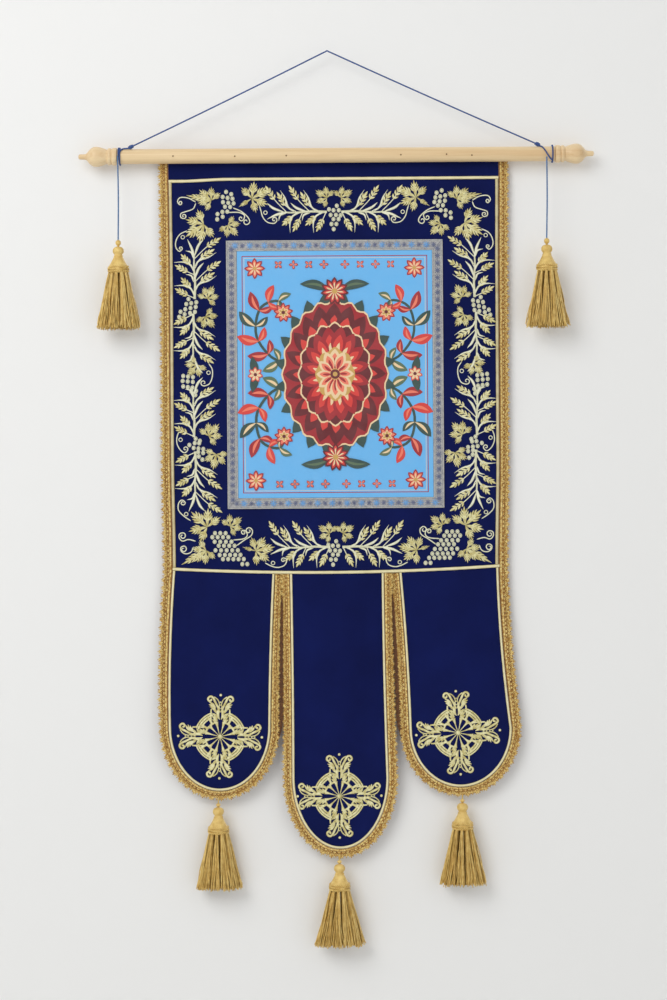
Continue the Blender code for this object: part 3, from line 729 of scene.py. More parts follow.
def makeSkirtTree():
    # a tassel's skirt: strands from a round head, drawn together into locks towards a wide hem
    tree, given, out, add, calc = newTree(
        "tasselSkirt", "GeometryNodeTree",
        [("Geometry", "Geometry"), ("Strands", "Int", 600), ("Root Radius", "Float", 0.018),
         ("Hem Radius", "Float", 0.043), ("Length", "Float", 0.108), ("Flatness", "Float", 0.58),
         ("Locks", "Int", 11), ("Gather", "Float", 0.6), ("Thread Radius", "Float", 0.0007),
         ("Seed", "Int", 1), ("Finish", "Material")],
        [("Geometry", "Geometry")],
    )
    store = partial(add, "GeometryNodeStoreNamedAttribute", data_type="FLOAT", domain="POINT")
    vector = partial(add, "ShaderNodeVectorMath")
    row = add("GeometryNodeMeshLine", {"Count": given["Strands"], "Offset": (0.0, 0.0, 0.0)})
    marked = store({"Geometry": row, "Name": "strand", "Value": add("GeometryNodeInputIndex")})
    straight = add("GeometryNodeCurvePrimitiveLine", {"Start": (0, 0, 0), "End": (0, 0, -1)})
    straight = add("GeometryNodeResampleCurve", {"Curve": straight, "Count": 8})
    copies = add("GeometryNodeInstanceOnPoints", {"Points": marked, "Instance": straight})
    real = add("GeometryNodeRealizeInstances", {"Geometry": copies})
    strand = add("GeometryNodeInputNamedAttribute", {"Name": "strand"}, data_type="FLOAT")
    down = add("GeometryNodeSplineParameter", out="Factor")

    def chance(offset, low, high):
        seed = calc("ADD", given["Seed"], offset)
        inputs = {"ID": strand, "Seed": seed, 2: low, 3: high}
        return add("FunctionNodeRandomValue", inputs, 1, data_type="FLOAT")

    golden = calc("MULTIPLY", strand, goldenTurn)
    lock = calc("ROUND", calc("MULTIPLY", calc("DIVIDE", golden, tau), given["Locks"]))
    lock = calc("MULTIPLY", calc("DIVIDE", lock, given["Locks"]), tau)
    loose = calc("MULTIPLY_ADD", down, -0.75, 1.0)  # the locks are tight at the head and open out
    pull = calc("MULTIPLY", loose, given["Gather"])
    angle = calc("ADD", golden, calc("MULTIPLY", calc("SUBTRACT", lock, golden), pull))
    angle = calc("ADD", calc("MULTIPLY", chance(1, -0.09, 0.09), down), angle)
    inner = calc("POWER", chance(2, 0.06, 1.0), 0.5)
    root = calc("MULTIPLY", given["Root Radius"], inner)
    hem = calc("MULTIPLY", given["Hem Radius"], calc("POWER", inner, 0.8))
    radius = calc("MULTIPLY_ADD", calc("SUBTRACT", hem, root), calc("POWER", down, 0.95), root)
    radius = calc("MULTIPLY", radius, calc("MULTIPLY_ADD", chance(3, -0.05, 0.03), down, 1.0))
    flat = calc("MULTIPLY_ADD", calc("SUBTRACT", given["Flatness"], 1.0), down, 1.0)
    placed = add("ShaderNodeCombineXYZ", {
        0: calc("MULTIPLY", calc("COSINE", angle), radius),
        1: calc("MULTIPLY", calc("MULTIPLY", calc("SINE", angle), radius), flat),
        2: calc("MULTIPLY", calc("MULTIPLY", down, given["Length"]), chance(4, -1.0, -0.93)),
    })
    noise = {"Vector": placed, "W": calc("MULTIPLY", lock, 3.1), "Scale": 16.0, "Detail": 1.0}
    wander = add("ShaderNodeTexNoise", noise, "Color", noise_dimensions="4D")
    sway = vector({0: wander, 1: (0.5, 0.5, 0.5)}, operation="SUBTRACT")
    sway = vector({0: sway, "Scale": calc("MULTIPLY", down, 0.018)}, operation="SCALE")
    placed = vector({0: placed, 1: sway}, operation="ADD")
    hung = add("GeometryNodeSetPosition", {"Geometry": real, "Position": placed})
    # painted shade: strands near the skirt's middle are darker; each strand's tone also differs at random
    lit = calc("MULTIPLY", chance(5, 0.5, 1.0), calc("MULTIPLY_ADD", inner, 0.6, 0.4))
    shade = store({"Geometry": hung, "Name": "crest", "Value": lit})
    ring = add("GeometryNodeCurvePrimitiveCircle", {"Resolution": 3, "Radius": given["Thread Radius"]})
    solid = add("GeometryNodeCurveToMesh", {"Curve": shade, "Profile Curve": ring, "Fill Caps": True})
    done = add("GeometryNodeSetMaterial", {"Geometry": solid, "Material": given["Finish"]})
    tree.links.new(done, out["Geometry"])
    return tree


motifTree = makeMotifTree()
pathTree = makePathTree()
skirtTree = makeSkirtTree()


def runTree(tree, mesh, values):
    # evaluates the tree on a mesh and gives back a plain mesh
    carrier = linked("carrier", mesh)
    modifier = carrier.modifiers.new("tree", "NODES")
    modifier.node_group = tree
    for item in tree.interface.items_tree:
        if item.item_type == "SOCKET" and item.in_out == "INPUT" and item.name in values:
            modifier[item.identifier] = values[item.name]
    seen = bpy.context.evaluated_depsgraph_get()
    shown = carrier.evaluated_get(seen)
    made = bpy.data.meshes.new_from_object(shown, preserve_all_data_layers=True, depsgraph=seen)
    carrier.modifiers.remove(modifier)
    bpy.data.objects.remove(carrier, do_unlink=True)
    return made


def addMotifs(name, shape, places, finish, slotName, place=onVelvet):
    # one small shape at many places of (x, z, height, turn, size)
    motif = linked("motif", makeMesh("motif", shape, facingFront))
    mesh = bpy.data.meshes.new(name)
    mesh.from_pydata([tuple(point) for point in place([where[:3] for where in places])], [], [])
    for column, label in ((3, "turn"), (4, "size")):
        values = mesh.attributes.new(label, "FLOAT", "POINT")
        values.data.foreach_set("value", [where[column] for where in places])
    made = runTree(motifTree, mesh, {"Motif": motif, "Scale": 1.0, "Finish": finishes[finish]})
    bpy.data.objects.remove(motif, do_unlink=True)
    facesOutward(made, 60)
    addPiece(name, made, finish, slotName)


def unitsAlong(unit, line, edge, side, finish):
    # line is a list of places in space, in metres; edge has the share kept of the teeth and the move outwards
    mesh = bpy.data.meshes.new("line")
    mesh.from_pydata([tuple(point) for point in line], [(i, i + 1) for i in range(len(line) - 1)], [])
    values = mesh.attributes.new("edge", "FLOAT_VECTOR", "POINT")
    values.data.foreach_set("vector", np.array(edge, np.float32).ravel())
    pitch = lace["pitch"] * len(lace["uneven"]) * mm
    length = np.linalg.norm(np.diff(np.array(line), axis=0), axis=1).sum()
    made = runTree(pathTree, mesh, {
        "Unit": unit, "Count": max(1, round(float(length) / pitch)), "Pitch": pitch, "Side": side,
        "Body": lace["body"] * mm, "Finish": finishes[finish],
    })
    facesOutward(made, 50)
    return made


print("geometry trees made")


# Velvet

velvet = {
    "step": 7.0, "lappetColumns": 34, "fieldFlat": (0.629, 0.800),
    "lappetFlat": {"Left": (0.196, 0.430), "Middle": (0.186, 0.527), "Right": (0.197, 0.420)},
    "lappetArea": {"Left": 0.079, "Middle": 0.092, "Right": 0.077},
}


def addSheet(grid, front=0.0, back=-banner["clothThick"]):
    # a closed sheet from a grid of flat places, between two heights
    shape = newShape()
    rows, columns = len(grid), len(grid[0])
    for height in (front, back):
        for row in grid:
            addRing(shape, [(x, z, height) for x, z in row], row, [0.5] * columns)

    def at(layer, row, column):
        return layer * rows * columns + row * columns + column

    for row in range(rows - 1):
        for column in range(columns - 1):
            corners = ((row, column), (row + 1, column), (row + 1, column + 1), (row, column + 1))
            shape["faces"].append(tuple(at(0, *corner) for corner in corners))
            shape["faces"].append(tuple(at(1, *corner) for corner in reversed(corners)))
    rim = [(0, c) for c in range(columns)] + [(r, columns - 1) for r in range(1, rows)]
    rim += [(rows - 1, c) for c in range(columns - 2, -1, -1)] + [(r, 0) for r in range(rows - 2, 0, -1)]
    for one, two in zip(rim, rim[1:] + rim[:1]):
        shape["faces"].append((at(0, *one), at(0, *two), at(1, *two), at(1, *one)))
    return shape


def makeField():
    top = banner["clothTop"]
    rows, columns = (round(side / mm / velvet["step"]) for side in velvet["fieldFlat"][::-1])
    grid = []
    for row in range(rows + 1):
        v = row / rows
        left, right = fieldEdges(top + (banner["seamLeft"] - top) * v)
        xs = [left + (right - left) * column / columns for column in range(columns + 1)]
        grid.append([(x, top + (seamZ(x) + gap / 2 - top) * v) for x in xs])
    return addPiece("fieldVelvet", addSheet(grid), "navyVelvet", "navy_velvet", "field")


def makeLappet(name):
    tops, _, _, _, endZ = lappets[name]
    rows, columns = round(abs(endZ - banner["seamLeft"]) / velvet["step"]), velvet["lappetColumns"]
    grid = []
    for row in range(rows + 1):
        line = []
        for column in range(columns + 1):
            angle = math.pi * column / columns
            u = (1 - math.cos(angle)) / 2
            _, lowZ = lappetArc(name, angle)
            highZ = seamZ(tops[0] + (tops[1] - tops[0]) * u) - gap / 2
            z = highZ + (lowZ - highZ) * row / rows
            left, right = lappetEdges(name, z)
            line.append((left + (right - left) * u, z))
        grid.append(line)
    return addPiece(
        "lappetVelvet" + name, addSheet(grid), "navyVelvet", "navy_velvet", "lappet_" + name.lower(),
    )


fieldPiece = makeField()
lappetPieces = {name: makeLappet(name) for name in lappets}
print("velvet made")


# Lines that trims follow

def downEdge(edges, side, topZ, bottomZ, step=3.0):
    count = max(2, round((topZ - bottomZ) / step))
    heights = [topZ + (bottomZ - topZ) * k / count for k in range(count + 1)]
    return [(edges(z)[side], z) for z in heights]


mirrorX = 11.3  # the design's middle line
piping = {
    "wide": 5.8, "high": 2.8, "thinWide": 4.4, "thinHigh": 2.4, "inset": 0.3, "seamInset": 3.2,
    "topZ": -241.0, "base": 0.7, "dip": 3.2, "dipStart": -190.0, "dipLength": 90.0,
    "step": 4.0, "columns": 160,
}
lace = {
    "pitch": 15.3, "thick": 1.4, "top": banner["rodZ"] + 2, "setBack": 0.3, "middleOut": 0.5,
    "uneven": ((0.5, 0.3), (-0.7, -0.5), (0.2, 0.5)),  # how far a repeat leans, how much longer its tooth is
    # the ground's widths, then the reach and place of the painted shade in the narrow gaps between the laces
    "groundWidth": {"Left": 13.8, "Right": 15.6, "Middle": 14.6}, "gapShadeInner": 12.5, "gapShadeOuter": 24.0,
    "narrowGapX": 150.0, "narrowGapZ": (-1335.0, -1265.0),
    "bandStart": 1.2, "bandWidth": 3.8, "thread": 0.8, "step": 3.0,
    "body": 13.0, "tooth": 7.2,  # width of the openwork and of its teeth
    "groundHigh": 0.4, "bandHigh": 1.3,
    "darkHalf": 2.2, "darkTop": -1004.0,  # half of the dark line of painted shade in a narrow gap, and where it starts
    "shift": 1.5, "outerX": 230.0, "outerZ": -1330.0,  # how far it hangs out beside the field and the lappets
}


def lappetOutline(name):
    edges = partial(lappetEdges, name)
    arcZ = lappets[name][3]
    start = piping["wide"] / 2 + gap
    arc = [lappetArc(name, math.pi * k / 60) for k in range(1, 60)]
    left, right = (downEdge(edges, side, seamZ(edges(0)[side]) - start, arcZ) for side in (0, 1))
    return left + arc + right[::-1]


def sideAndLappet(name):
    side = 0 if name == "Left" else 1
    beside = downEdge(fieldEdges, side, lace["top"], seamZ(lappetEdges(name, 0)[side]) + 3.0)
    return beside + lappetOutline(name)[:: 1 - 2 * side]


def alongside(line, outward):
    # a line's sideways directions, outwards from the velvet
    along = directions(line)
    return np.stack((-along[:, 1], along[:, 0]), axis=1) * outward


# Piping

def addRidge(line, outward, outer, width, height):
    # a rounded ridge beside a flat line; outer is its outer side, outwards from the line
    shape = newShape()
    line = evenly(line, piping["step"])
    middle = line + alongside(line, outward) * (outer - width / 2)
    widths = [width / 2 * (1 + 0.05 * math.sin(0.9 * k) * math.cos(0.37 * k)) for k in range(len(middle))]
    addPad(shape, middle, widths, height, piping["base"])
    return shape


def topPipingZ(x):
    # its left end sags a little
    return piping["topZ"] - piping["dip"] * smooth((piping["dipStart"] - x) / piping["dipLength"])


def makePiping():
    left, right = fieldEdges(piping["topZ"])
    half, inset = piping["wide"] / 2, piping["inset"]
    for name, height, ends in (("Top", topPipingZ, inset), ("Seam", seamZ, piping["seamInset"])):
        line = [(x, height(x)) for x in np.linspace(left + ends, right - ends, piping["columns"])]
        ridge = addRidge(line, 1, half, piping["wide"], piping["high"])
        addPiece("piping" + name, ridge, "creamPiping", "cream_piping", "piping_" + name.lower())
    for side, name in enumerate(("Left", "Right")):
        low = seamZ(fieldEdges(banner["seamLeft"])[side]) + half
        line = downEdge(fieldEdges, side, piping["topZ"] - half, low)
        ridge = addRidge(line, 2 * side - 1, -inset, piping["wide"], piping["high"])
        # the upright sides take the cream piping with painted shade
        addPiece("piping" + name, ridge, "dullPiping", "cream_piping", "piping_" + name.lower())
    for name in lappets:
        ridge = addRidge(lappetOutline(name), -1, -inset, piping["thinWide"], piping["thinHigh"])
        node = "piping_lappet_" + name.lower()
        addPiece("pipingLappet" + name, ridge, "creamPiping", "cream_piping", node)


makePiping()
print("piping made")


# Lace

plateSection = ((-1, 0), (-1, 1), (1, 1), (1, 0))
bandSection = ((-1, 0), (-0.95, 0.95), (-0.5, 1.0), (-0.1, 0.8), (0.1, 0.8), (0.5, 1.0), (0.95, 0.95), (1, 0))


def addLaceRepeat(shape, start, lean, reach):
    # one repeat of the openwork, as (along, outwards, height)
    pitch = lace["pitch"]
    for share in (0.25, 0.75):  # the bright chain of beads
        bead = [(start + pitch * share + step, 7.1 + lean * 0.3) for step in (-2.7, -1.3, 1.3, 2.7)]
        addPad(shape, bead, [0.7, 1.5, 1.5, 0.7], 1.5, 0.4)
        at = start + pitch * share + lean
        addPad(shape, [(at - 0.9, 12.0), (at, 12.2), (at + 0.9, 12.0)], [0.5, 1.0, 0.5], 1.3, 0.4)
    for low, high in ((9.4, 13.4), (13.4, 9.4)):  # two zigzags cross as a net
        zigzag = [(start + pitch * k / 4, low if k % 2 == 0 else high) for k in range(5)]
        addCord(shape, curveThrough(zigzag, 8), lace["thread"], 1.0, 0.3, cordSection)
    root = np.array((start + pitch / 2 + lean * 0.5, 12.8))
    fans = ((0, 7.4 + reach), (33, 6.9), (-33, 6.9 - reach), (66, 5.9 + reach), (-66, 5.8))
    for turn, long in fans:  # degrees off the middle of the tooth, length
        run = heading(math.radians(turn + lean * 6))[::-1]
        addBlade(shape, [root, root + run * long * 0.5, root + run * long], 1.15, 1.0, 4, full=0.6)
    picot = [(start - 0.1, 12.8), (start + lean, 15.6), (start + lean * 0.5, 18.2 + reach)]
    addBlade(shape, picot, 1.0, 1.0, 4, 0.25, full=0.5)
    rim = [(start + along, 13.4) for along in (-0.1, 1.8, pitch - 1.8, pitch + 0.1)]
    addPad(shape, rim, [0.9, 0.7, 0.7, 0.9], 1.1, 0.3, cordSection)


def addLaceGapShade(name, flat, side, back):
    # painted shade: a dark sheet in the narrow gap behind the middle lappet's lace
    low, high = lace["narrowGapZ"]
    kept = [k for k, (x, z) in enumerate(flat) if abs(x - mirrorX) < lace["narrowGapX"] and z > low]
    reach = lace["gapShadeOuter"] - lace["gapShadeInner"]
    halves = np.maximum(0.5, reach * smooth((flat[kept][:, 1] - low) / (high - low)) / 2)
    middles = flat[kept] + side[kept] * (lace["gapShadeInner"] + halves)[:, None]
    shadeSheet = newShape()
    addPad(shadeSheet, middles, halves, 0.35, back - 0.1, plateSection)
    addPiece("laceFold" + name, shadeSheet, "laceFold", "gold_lace")


def laceEdge(x, z):
    # share kept of the teeth, how far the lace is moved out and how wide it may be, at a place on its line
    beside = abs(x - mirrorX)
    low, high = lace["narrowGapZ"]
    moved = lace["shift"] * float(smooth((beside - lace["outerX"]) / 40) * smooth((z - lace["outerZ"]) / 90))
    if beside > lace["narrowGapX"] or z < low:
        return 1.0, moved, 99.0
    one, two = ("Left", "Middle") if x < mirrorX else ("Middle", "Right")
    room = (lappetEdges(two, z)[0] - lappetEdges(one, z)[1]) / 2 - lace["darkHalf"]
    near = float(smooth((z - low) / (high - low)) * smooth((lace["darkTop"] - z) / 50))
    ragged = 0.16 * math.sin(0.55 * z) * math.cos(0.13 * z)
    share = max(0.08, min(1.0, (room - lace["body"]) / lace["tooth"] + ragged))
    return 1 + (share - 1) * near, moved, room + 8 * (1 - near)


def makeLace(name, line, outward, height):
    # the ground, the woven band on it and the openwork
    flat = evenly(line, lace["step"])
    shares, moved, room = np.array([laceEdge(x, z) for x, z in flat]).T
    side = alongside(flat, outward)
    back = height - lace["thick"]
    ground, band = newShape(), newShape()
    wide = np.minimum(lace["groundWidth"][name] + moved, room) - gap
    addPad(ground, flat + side * (gap + wide / 2)[:, None], wide / 2, lace["groundHigh"], back, plateSection)
    if name != "Middle":
        addLaceGapShade(name, flat, side, back)
    half = lace["bandWidth"] / 2
    line = flat + side * (lace["bandStart"] + half + moved)[:, None]
    addCord(band, line, half, lace["bandHigh"], back, bandSection)
    spine = onVelvet([(x, z, back) for x, z in flat])
    edge = np.stack((shares, moved * mm, np.zeros(len(flat))), axis=1)
    both = bpy.data.meshes.new("lace")
    bm = bmesh.new()
    bm.from_mesh(makeMesh("band", band, onVelvet))
    bm.from_mesh(unitsAlong(laceUnit, spine, edge, -outward, "goldLace"))
    bm.to_mesh(both)
    bm.free()
    node = "lace_" + name.lower()
    addPiece("laceGround" + name, ground, "laceGround", "gold_lace", node)
    addPiece("lace" + name, both, "goldLace", "gold_lace", node)


repeats = newShape()
for number, (lean, reach) in enumerate(lace["uneven"]):
    addLaceRepeat(repeats, number * lace["pitch"], lean, reach)
laceUnit = linked("laceUnit", makeMesh("laceUnit", repeats, inSpace))
makeLace("Left", sideAndLappet("Left"), -1, -lace["setBack"])
makeLace("Right", sideAndLappet("Right"), 1, -lace["setBack"])
makeLace("Middle", lappetOutline("Middle"), -1, lace["middleOut"] + lace["thick"])
bpy.data.objects.remove(laceUnit, do_unlink=True)
print("lace made")


# Centre panel: a printed cloth with a generic ornament

panel = {
    "x": 11.3, "z": -613.5, "width": 371.5, "height": 470.0, "thick": 1.2, "base": 0.7, "ink": 0.0025,
    "columns": 24, "rows": 30,
    "dyes": {
        "sky": (0.14, 0.47, 0.86), "crimson": (0.36, 0.012, 0.02), "red": (0.68, 0.045, 0.035),
        "coral": (0.85, 0.20, 0.12), "cream": (0.84, 0.62, 0.36), "green": (0.03, 0.07, 0.06),
        "deep": (0.13, 0.006, 0.012), "moss": (0.10, 0.16, 0.09), "gold": (0.60, 0.36, 0.09),
    },
}


def addInk(shape, outline, dye):
    # a thin printed shape, a hair above the ones before it; its outline is (x, z) from the panel's centre
    base = panel["base"] + panel["thick"]
    shape["shapes"] += 1
    places = [(panel["x"] + x, panel["z"] + z) for x, z in outline]
    heights = (base - 0.1, base + panel["ink"] * shape["shapes"])
    tones = [0.5] * len(places)
    addLayers(shape, [([(x, z, height) for x, z in places], places, tones) for height in heights])
    shape["dye"] += [(*panel["dyes"][dye], 1.0)] * (2 * len(places))


def leafOutline(base, tip, width, steps=8, lean=0.0):
    base, tip = np.array(base, float), np.array(tip, float)
    run = tip - base
    side = np.array((-run[1], run[0])) / np.linalg.norm(run)
    ends = []
    for sign in (1, -1):
        for k in range(steps):
            t = k / steps if sign == 1 else 1 - k / steps
            bend = lean * math.sin(math.pi * t)
            ends.append(tuple(base + run * t + side * (sign * width * math.sin(math.pi * t) ** 0.8 + bend)))
    return ends


def roundOutline(x, z, radius, count=28, petals=0, depth=0.0, turn=0.0, tall=1.0):
    found = []
    for k in range(count):
        angle = tau * k / count
        reach = radius * (1 + depth * math.cos(petals * (angle - turn)))
        found.append((x + reach * math.cos(angle), z + reach * math.sin(angle) * tall))
    return found


def addDisc(shape, dye, *outline):
    addInk(shape, roundOutline(*outline), dye)


def addPetals(shape, x, z, radius, count, dyes, wide=0.2, tall=1.0, start=0.1, turn=0.0):
    # a ring of petals, each of one colour inside another
    centre = np.array((x, z))
    for k in range(count):
        run = heading(tau * (k + turn) / count + math.pi / 2) * (1, tall) * radius
        long = np.linalg.norm(run)
        for number, dye in enumerate(dyes):
            tip = centre + run * (1.0 - 0.17 * number)
            width = long * wide * (1 - 0.36 * number)
            addInk(shape, leafOutline(centre + run * start, tip, width, lean=long * 0.02), dye)


def addScroll(shape, side, up):
    # one leafy scroll beside the medallion; side and up are 1 or -1
    route = ((84, 20), (122, 34), (150, 76), (142, 126), (108, 140), (94, 116))
    stem = curveThrough([(side * x, up * z) for x, z in route], 26)
    along, across = directions(stem), alongside(stem, 1)
    left, right = ([tuple(p + s * half) for p, s in zip(stem, across)] for half in (2.4, -2.4))
    for k in range(len(stem) - 1):
        addInk(shape, [left[k], left[k + 1], right[k + 1], right[k]], "green")
    for k, long, dye in (
        (3, 32, "moss"), (6, 34, "crimson"), (9, 36, "red"), (12, 36, "green"), (15, 34, "crimson"),
        (18, 30, "red"), (21, 24, "moss"),
    ):
        for sign in (1, -1):
            run = along[k] * 0.75 + across[k] * sign * 0.9
            size = long * (1.0 if sign * side * up < 0 else 0.7)
            inner = "coral" if dye in ("red", "crimson") else "cream"
            addInk(shape, leafOutline(stem[k], stem[k] + run * size, size * 0.27, lean=sign * 3), dye)
            addInk(shape, leafOutline(stem[k], stem[k] + run * size * 0.8, size * 0.08, lean=sign * 3), inner)
    x, z = side * 98, up * 118
    addPetals(shape, x, z, 19, 9, ("crimson", "coral"), 0.24)
    addPetals(shape, x, z, 11, 6, ("cream", "gold"), 0.28)
    addDisc(shape, "deep", x, z, 3.4, 14)


def addMedallion(shape):
    # rings of petals on round grounds, the widest first
    addPetals(shape, 0, 0, 116, 20, ("green", "moss"), 0.11, 1.36, 0.5, 0.5)
    addDisc(shape, "cream", 0, 0, 100, 96, 20, 0.03, math.pi / 2, 1.4)
    addDisc(shape, "crimson", 0, 0, 97, 96, 20, 0.03, math.pi / 2, 1.41)
    addPetals(shape, 0, 0, 97, 20, ("deep", "red", "coral"), 0.13, 1.4, 0.45)
    addDisc(shape, "cream", 0, 0, 69, 80, 16, 0.04, math.pi / 2, 1.4)
    addDisc(shape, "deep", 0, 0, 66, 80, 16, 0.04, math.pi / 2, 1.41)
    addPetals(shape, 0, 0, 66, 16, ("crimson", "red", "cream"), 0.16, 1.4, 0.35, 0.5)
    addDisc(shape, "gold", 0, 0, 36, 60, 8, 0.06, math.pi / 2, 1.35)
    addPetals(shape, 0, 0, 36, 12, ("cream", "coral", "crimson"), 0.22, 1.35, 0.2)
    addDisc(shape, "deep", 0, 0, 9, 24)
    addDisc(shape, "gold", 0, 0, 4.5, 16)
    for up in (1, -1):
        addPetals(shape, 0, up * 158, 27, 11, ("deep", "red", "cream"), 0.22)
        addDisc(shape, "gold", 0, up * 158, 5, 18)


def makePanel():
    halfX, halfZ = panel["width"] / 2, panel["height"] / 2
    columns, rows = panel["columns"], panel["rows"]
    xs = [panel["x"] - halfX + 2 * halfX * c / columns for c in range(columns + 1)]
    zs = [panel["z"] + halfZ - 2 * halfZ * r / rows for r in range(rows + 1)]
    cloth = addSheet([[(x, z) for x in xs] for z in zs], panel["base"] + panel["thick"], panel["base"])
    cloth["dye"] = [(*panel["dyes"]["sky"], 1.0)] * len(cloth["points"])
    shape = {**newShape(), "dye": [], "shapes": 0}
    for inset, wide, dye in ((9.0, 1.6, "crimson"), (13.0, 0.8, "cream")):
        x, z = halfX - inset, halfZ - inset
        bars = (-x, z, x, z - wide), (-x, -z + wide, x, -z), (-x, z, -x + wide, -z), (x - wide, z, x, -z)
        for ax, az, bx, bz in bars:
            addInk(shape, [(ax, az), (bx, az), (bx, bz), (ax, bz)], dye)
    for side in (1, -1):
        for up in (1, -1):
            addScroll(shape, side, up)
            addPetals(shape, side * 152, up * 202, 20, 8, ("crimson", "coral", "cream"), 0.24)
            addDisc(shape, "gold", side * 152, up * 202, 3.5, 14)
            for k in range(4):
                x = side * (20 + 29 * k)
                addPetals(shape, x, up * 209, 9, 4, ("crimson", "coral"), 0.3, turn=0.5 * (k % 2))
        for up in (1, -1):
            addInk(shape, leafOutline((side * 158, up * 34), (side * 150, up * -6), 8), "green")
        addPetals(shape, side * 152, 0, 15, 7, ("red", "cream"), 0.27)
        addDisc(shape, "deep", side * 152, 0, 3.2, 14)
    for up in (1, -1):
        for side in (-1, 1):
            lean = side * up * 5
            addInk(shape, leafOutline((side * 10, up * 160), (side * 66, up * 172), 9, lean=lean), "green")
            addInk(shape, leafOutline((side * 12, up * 161), (side * 58, up * 171), 2.4, lean=lean), "moss")
    addMedallion(shape)
    return (
        addPiece("panelCloth", cloth, "printedCloth", "printed_cloth", "centre_panel", place=onPlane),
        addPiece("panelPrint", shape, "printedCloth", "printed_cloth", place=onPlane),
    )


panelPiece, panelPrint = makePanel()
print("panel made")


# Braid round the panel

braid = {
    "width": 20.3, "thick": 1.6, "motifPitch": 14.2, "starRadius": 7.0, "railStep": 5,
    "starSize": 1.0, "roundSize": 0.74, "uprightSize": 0.86,
    "rails": ((1.3, 1.25), (19.0, 1.25), (4.4, 0.7), (15.9, 0.7)),  # from the inner edge, half width
}


def starShape():
    # a round star with eight broad points
    shape = newShape()
    layers = []
    for height, share in ((0.0, 1.0), (0.5, 0.92), (0.75, 0.3)):
        places = []
        for k in range(8):
            for turn, reach in ((-6.0, 1.0), (6.0, 1.0), (22.5, 0.4)):
                angle = tau * k / 8 + math.radians(turn)
                places.append(tuple(braid["starRadius"] * share * reach * heading(angle)))
        layers.append(([(x, z, height) for x, z in places], places, [height] * len(places)))
    addLayers(shape, layers)
    return shape


def domeShape(profile, sides, tall=1.0):
    # a low round shape: profile of (radius, height)
    shape = newShape()
    layers = []
    for radius, height in profile:
        points = [(x, z * tall, height) for x, z in circle(radius, sides)]
        # painted highlight where it stands high, painted shade where it is low, at the rim and in any dimple
        crest = max(0.0, min(1.0, (height - 0.2) * 0.8))
        layers.append((points, [(radius, tau * k / sides * radius) for k in range(sides)], [crest] * sides))
    addLayers(shape, layers)
    return shape


def makeBraidSide(name, first, second, stars, rounds):
    # one mitred strip between two corners of the panel, given as signs
    halves, centre = np.array((panel["width"], panel["height"])) / 2, np.array((panel["x"], panel["z"]))
    wide, front = braid["width"], panel["base"] + braid["thick"]
    first, second = np.array(first), np.array(second)
    shift = (second - first) / 2 * gap / 2  # clears the mitres

    def ends(out):
        return centre + first * (halves + out) + shift, centre + second * (halves + out) - shift

    layers = []
    for inset, height in ((0, panel["base"]), (0, front - 0.5), (0.8, front - 0.2)):
        places = [tuple(place) for place in (*ends(gap + wide - inset), *ends(gap + inset)[::-1])]
        layers.append(([(x, z, height) for x, z in places], places, [0.5] * 4))
    ground, rails = newShape(), newShape()
    addLayers(ground, layers)
    for out, half in braid["rails"]:
        a, b = ends(gap + out)
        count = round(np.linalg.norm(b - a) / braid["railStep"])
        spine = [a + (b - a) * k / count for k in range(count + 1)]
        addPad(rails, spine, [half * 0.5] + [half] * (count - 1) + [half * 0.5], 0.55, front - 0.35)
    node = "braid_" + name.lower()
    slot, degrees = "silver_braid", 20
    addPiece("braidGround" + name, ground, "silverGround", slot, node, place=onPlane, smoothDegrees=degrees)
    addPiece("braidRails" + name, rails, "silverThread", slot, place=onPlane)
    a, b = ends(gap + wide / 2)
    count = round(np.linalg.norm(b - a) / braid["motifPitch"])
    upright = name in ("Left", "Right")
    for k in range(count):
        blue = k % 2 == 0 and not upright
        size = braid["starSize" if blue else "uprightSize" if upright else "roundSize"]
        (stars if blue else rounds).append((*(a + (b - a) * (k + 0.5) / count), front - 0.3, 0.0, size))


def makeBraid():
    signs = ((-1, 1), (1, 1), (1, -1), (-1, -1))
    stars, rounds = [], []
    for name, first, second in zip(("Top", "Right", "Bottom", "Left"), signs, signs[1:] + signs[:1]):
        makeBraidSide(name, first, second, stars, rounds)
    addMotifs("braidStars", starShape(), stars, "braidBlue", "silver_braid", onPlane)
    addMotifs("braidRounds", starShape(), rounds, "braidSlate", "silver_braid", onPlane)


makeBraid()
print("braid made")


# Embroidery

stitching = {  # widths are half widths
    "height": 1.7, "base": 0.15, "stem": 2.6, "stemEnd": 1.4, "stalk": 0.95, "blade": 1.95, "thickBlade": 2.5,
    "tipBlade": 2.6, "tendril": 1.15, "tendrilEnd": 0.5, "tendrilHeight": 1.1, "curl": 1.05,
    "curlShrink": 0.72, "loop": 3.4, "loopThread": 0.85, "kernelLong": 9.8, "kernelWide": 2.05,
    "berry": (  # radius, height
        (3.85, 0.0), (3.7, 1.1), (3.2, 1.6), (2.7, 1.55), (2.4, 0.45), (2.0, 0.45), (1.65, 1.4), (0.5, 1.6),
    ),
}


def makeEarPlaces(base, tip, places):
    # an ear of wheat: pairs of kernels up its stalk and one at the tip
    run = tip - base
    angle = math.atan2(run[1], run[0])
    for k in range(3):
        at = base + run * (0.02 + 0.24 * k)
        for sign in (1, -1):
            turn = angle + sign * math.radians(38 - 3 * k)
            places.append((*at, stitching["base"] + 0.1 * k, turn, 1.0 + 0.06 * (k % 2)))
    size = min(1.25, np.linalg.norm(run) / 23.0)
    places.append((*(base + run * 0.62), stitching["base"] + 0.35, angle, size))


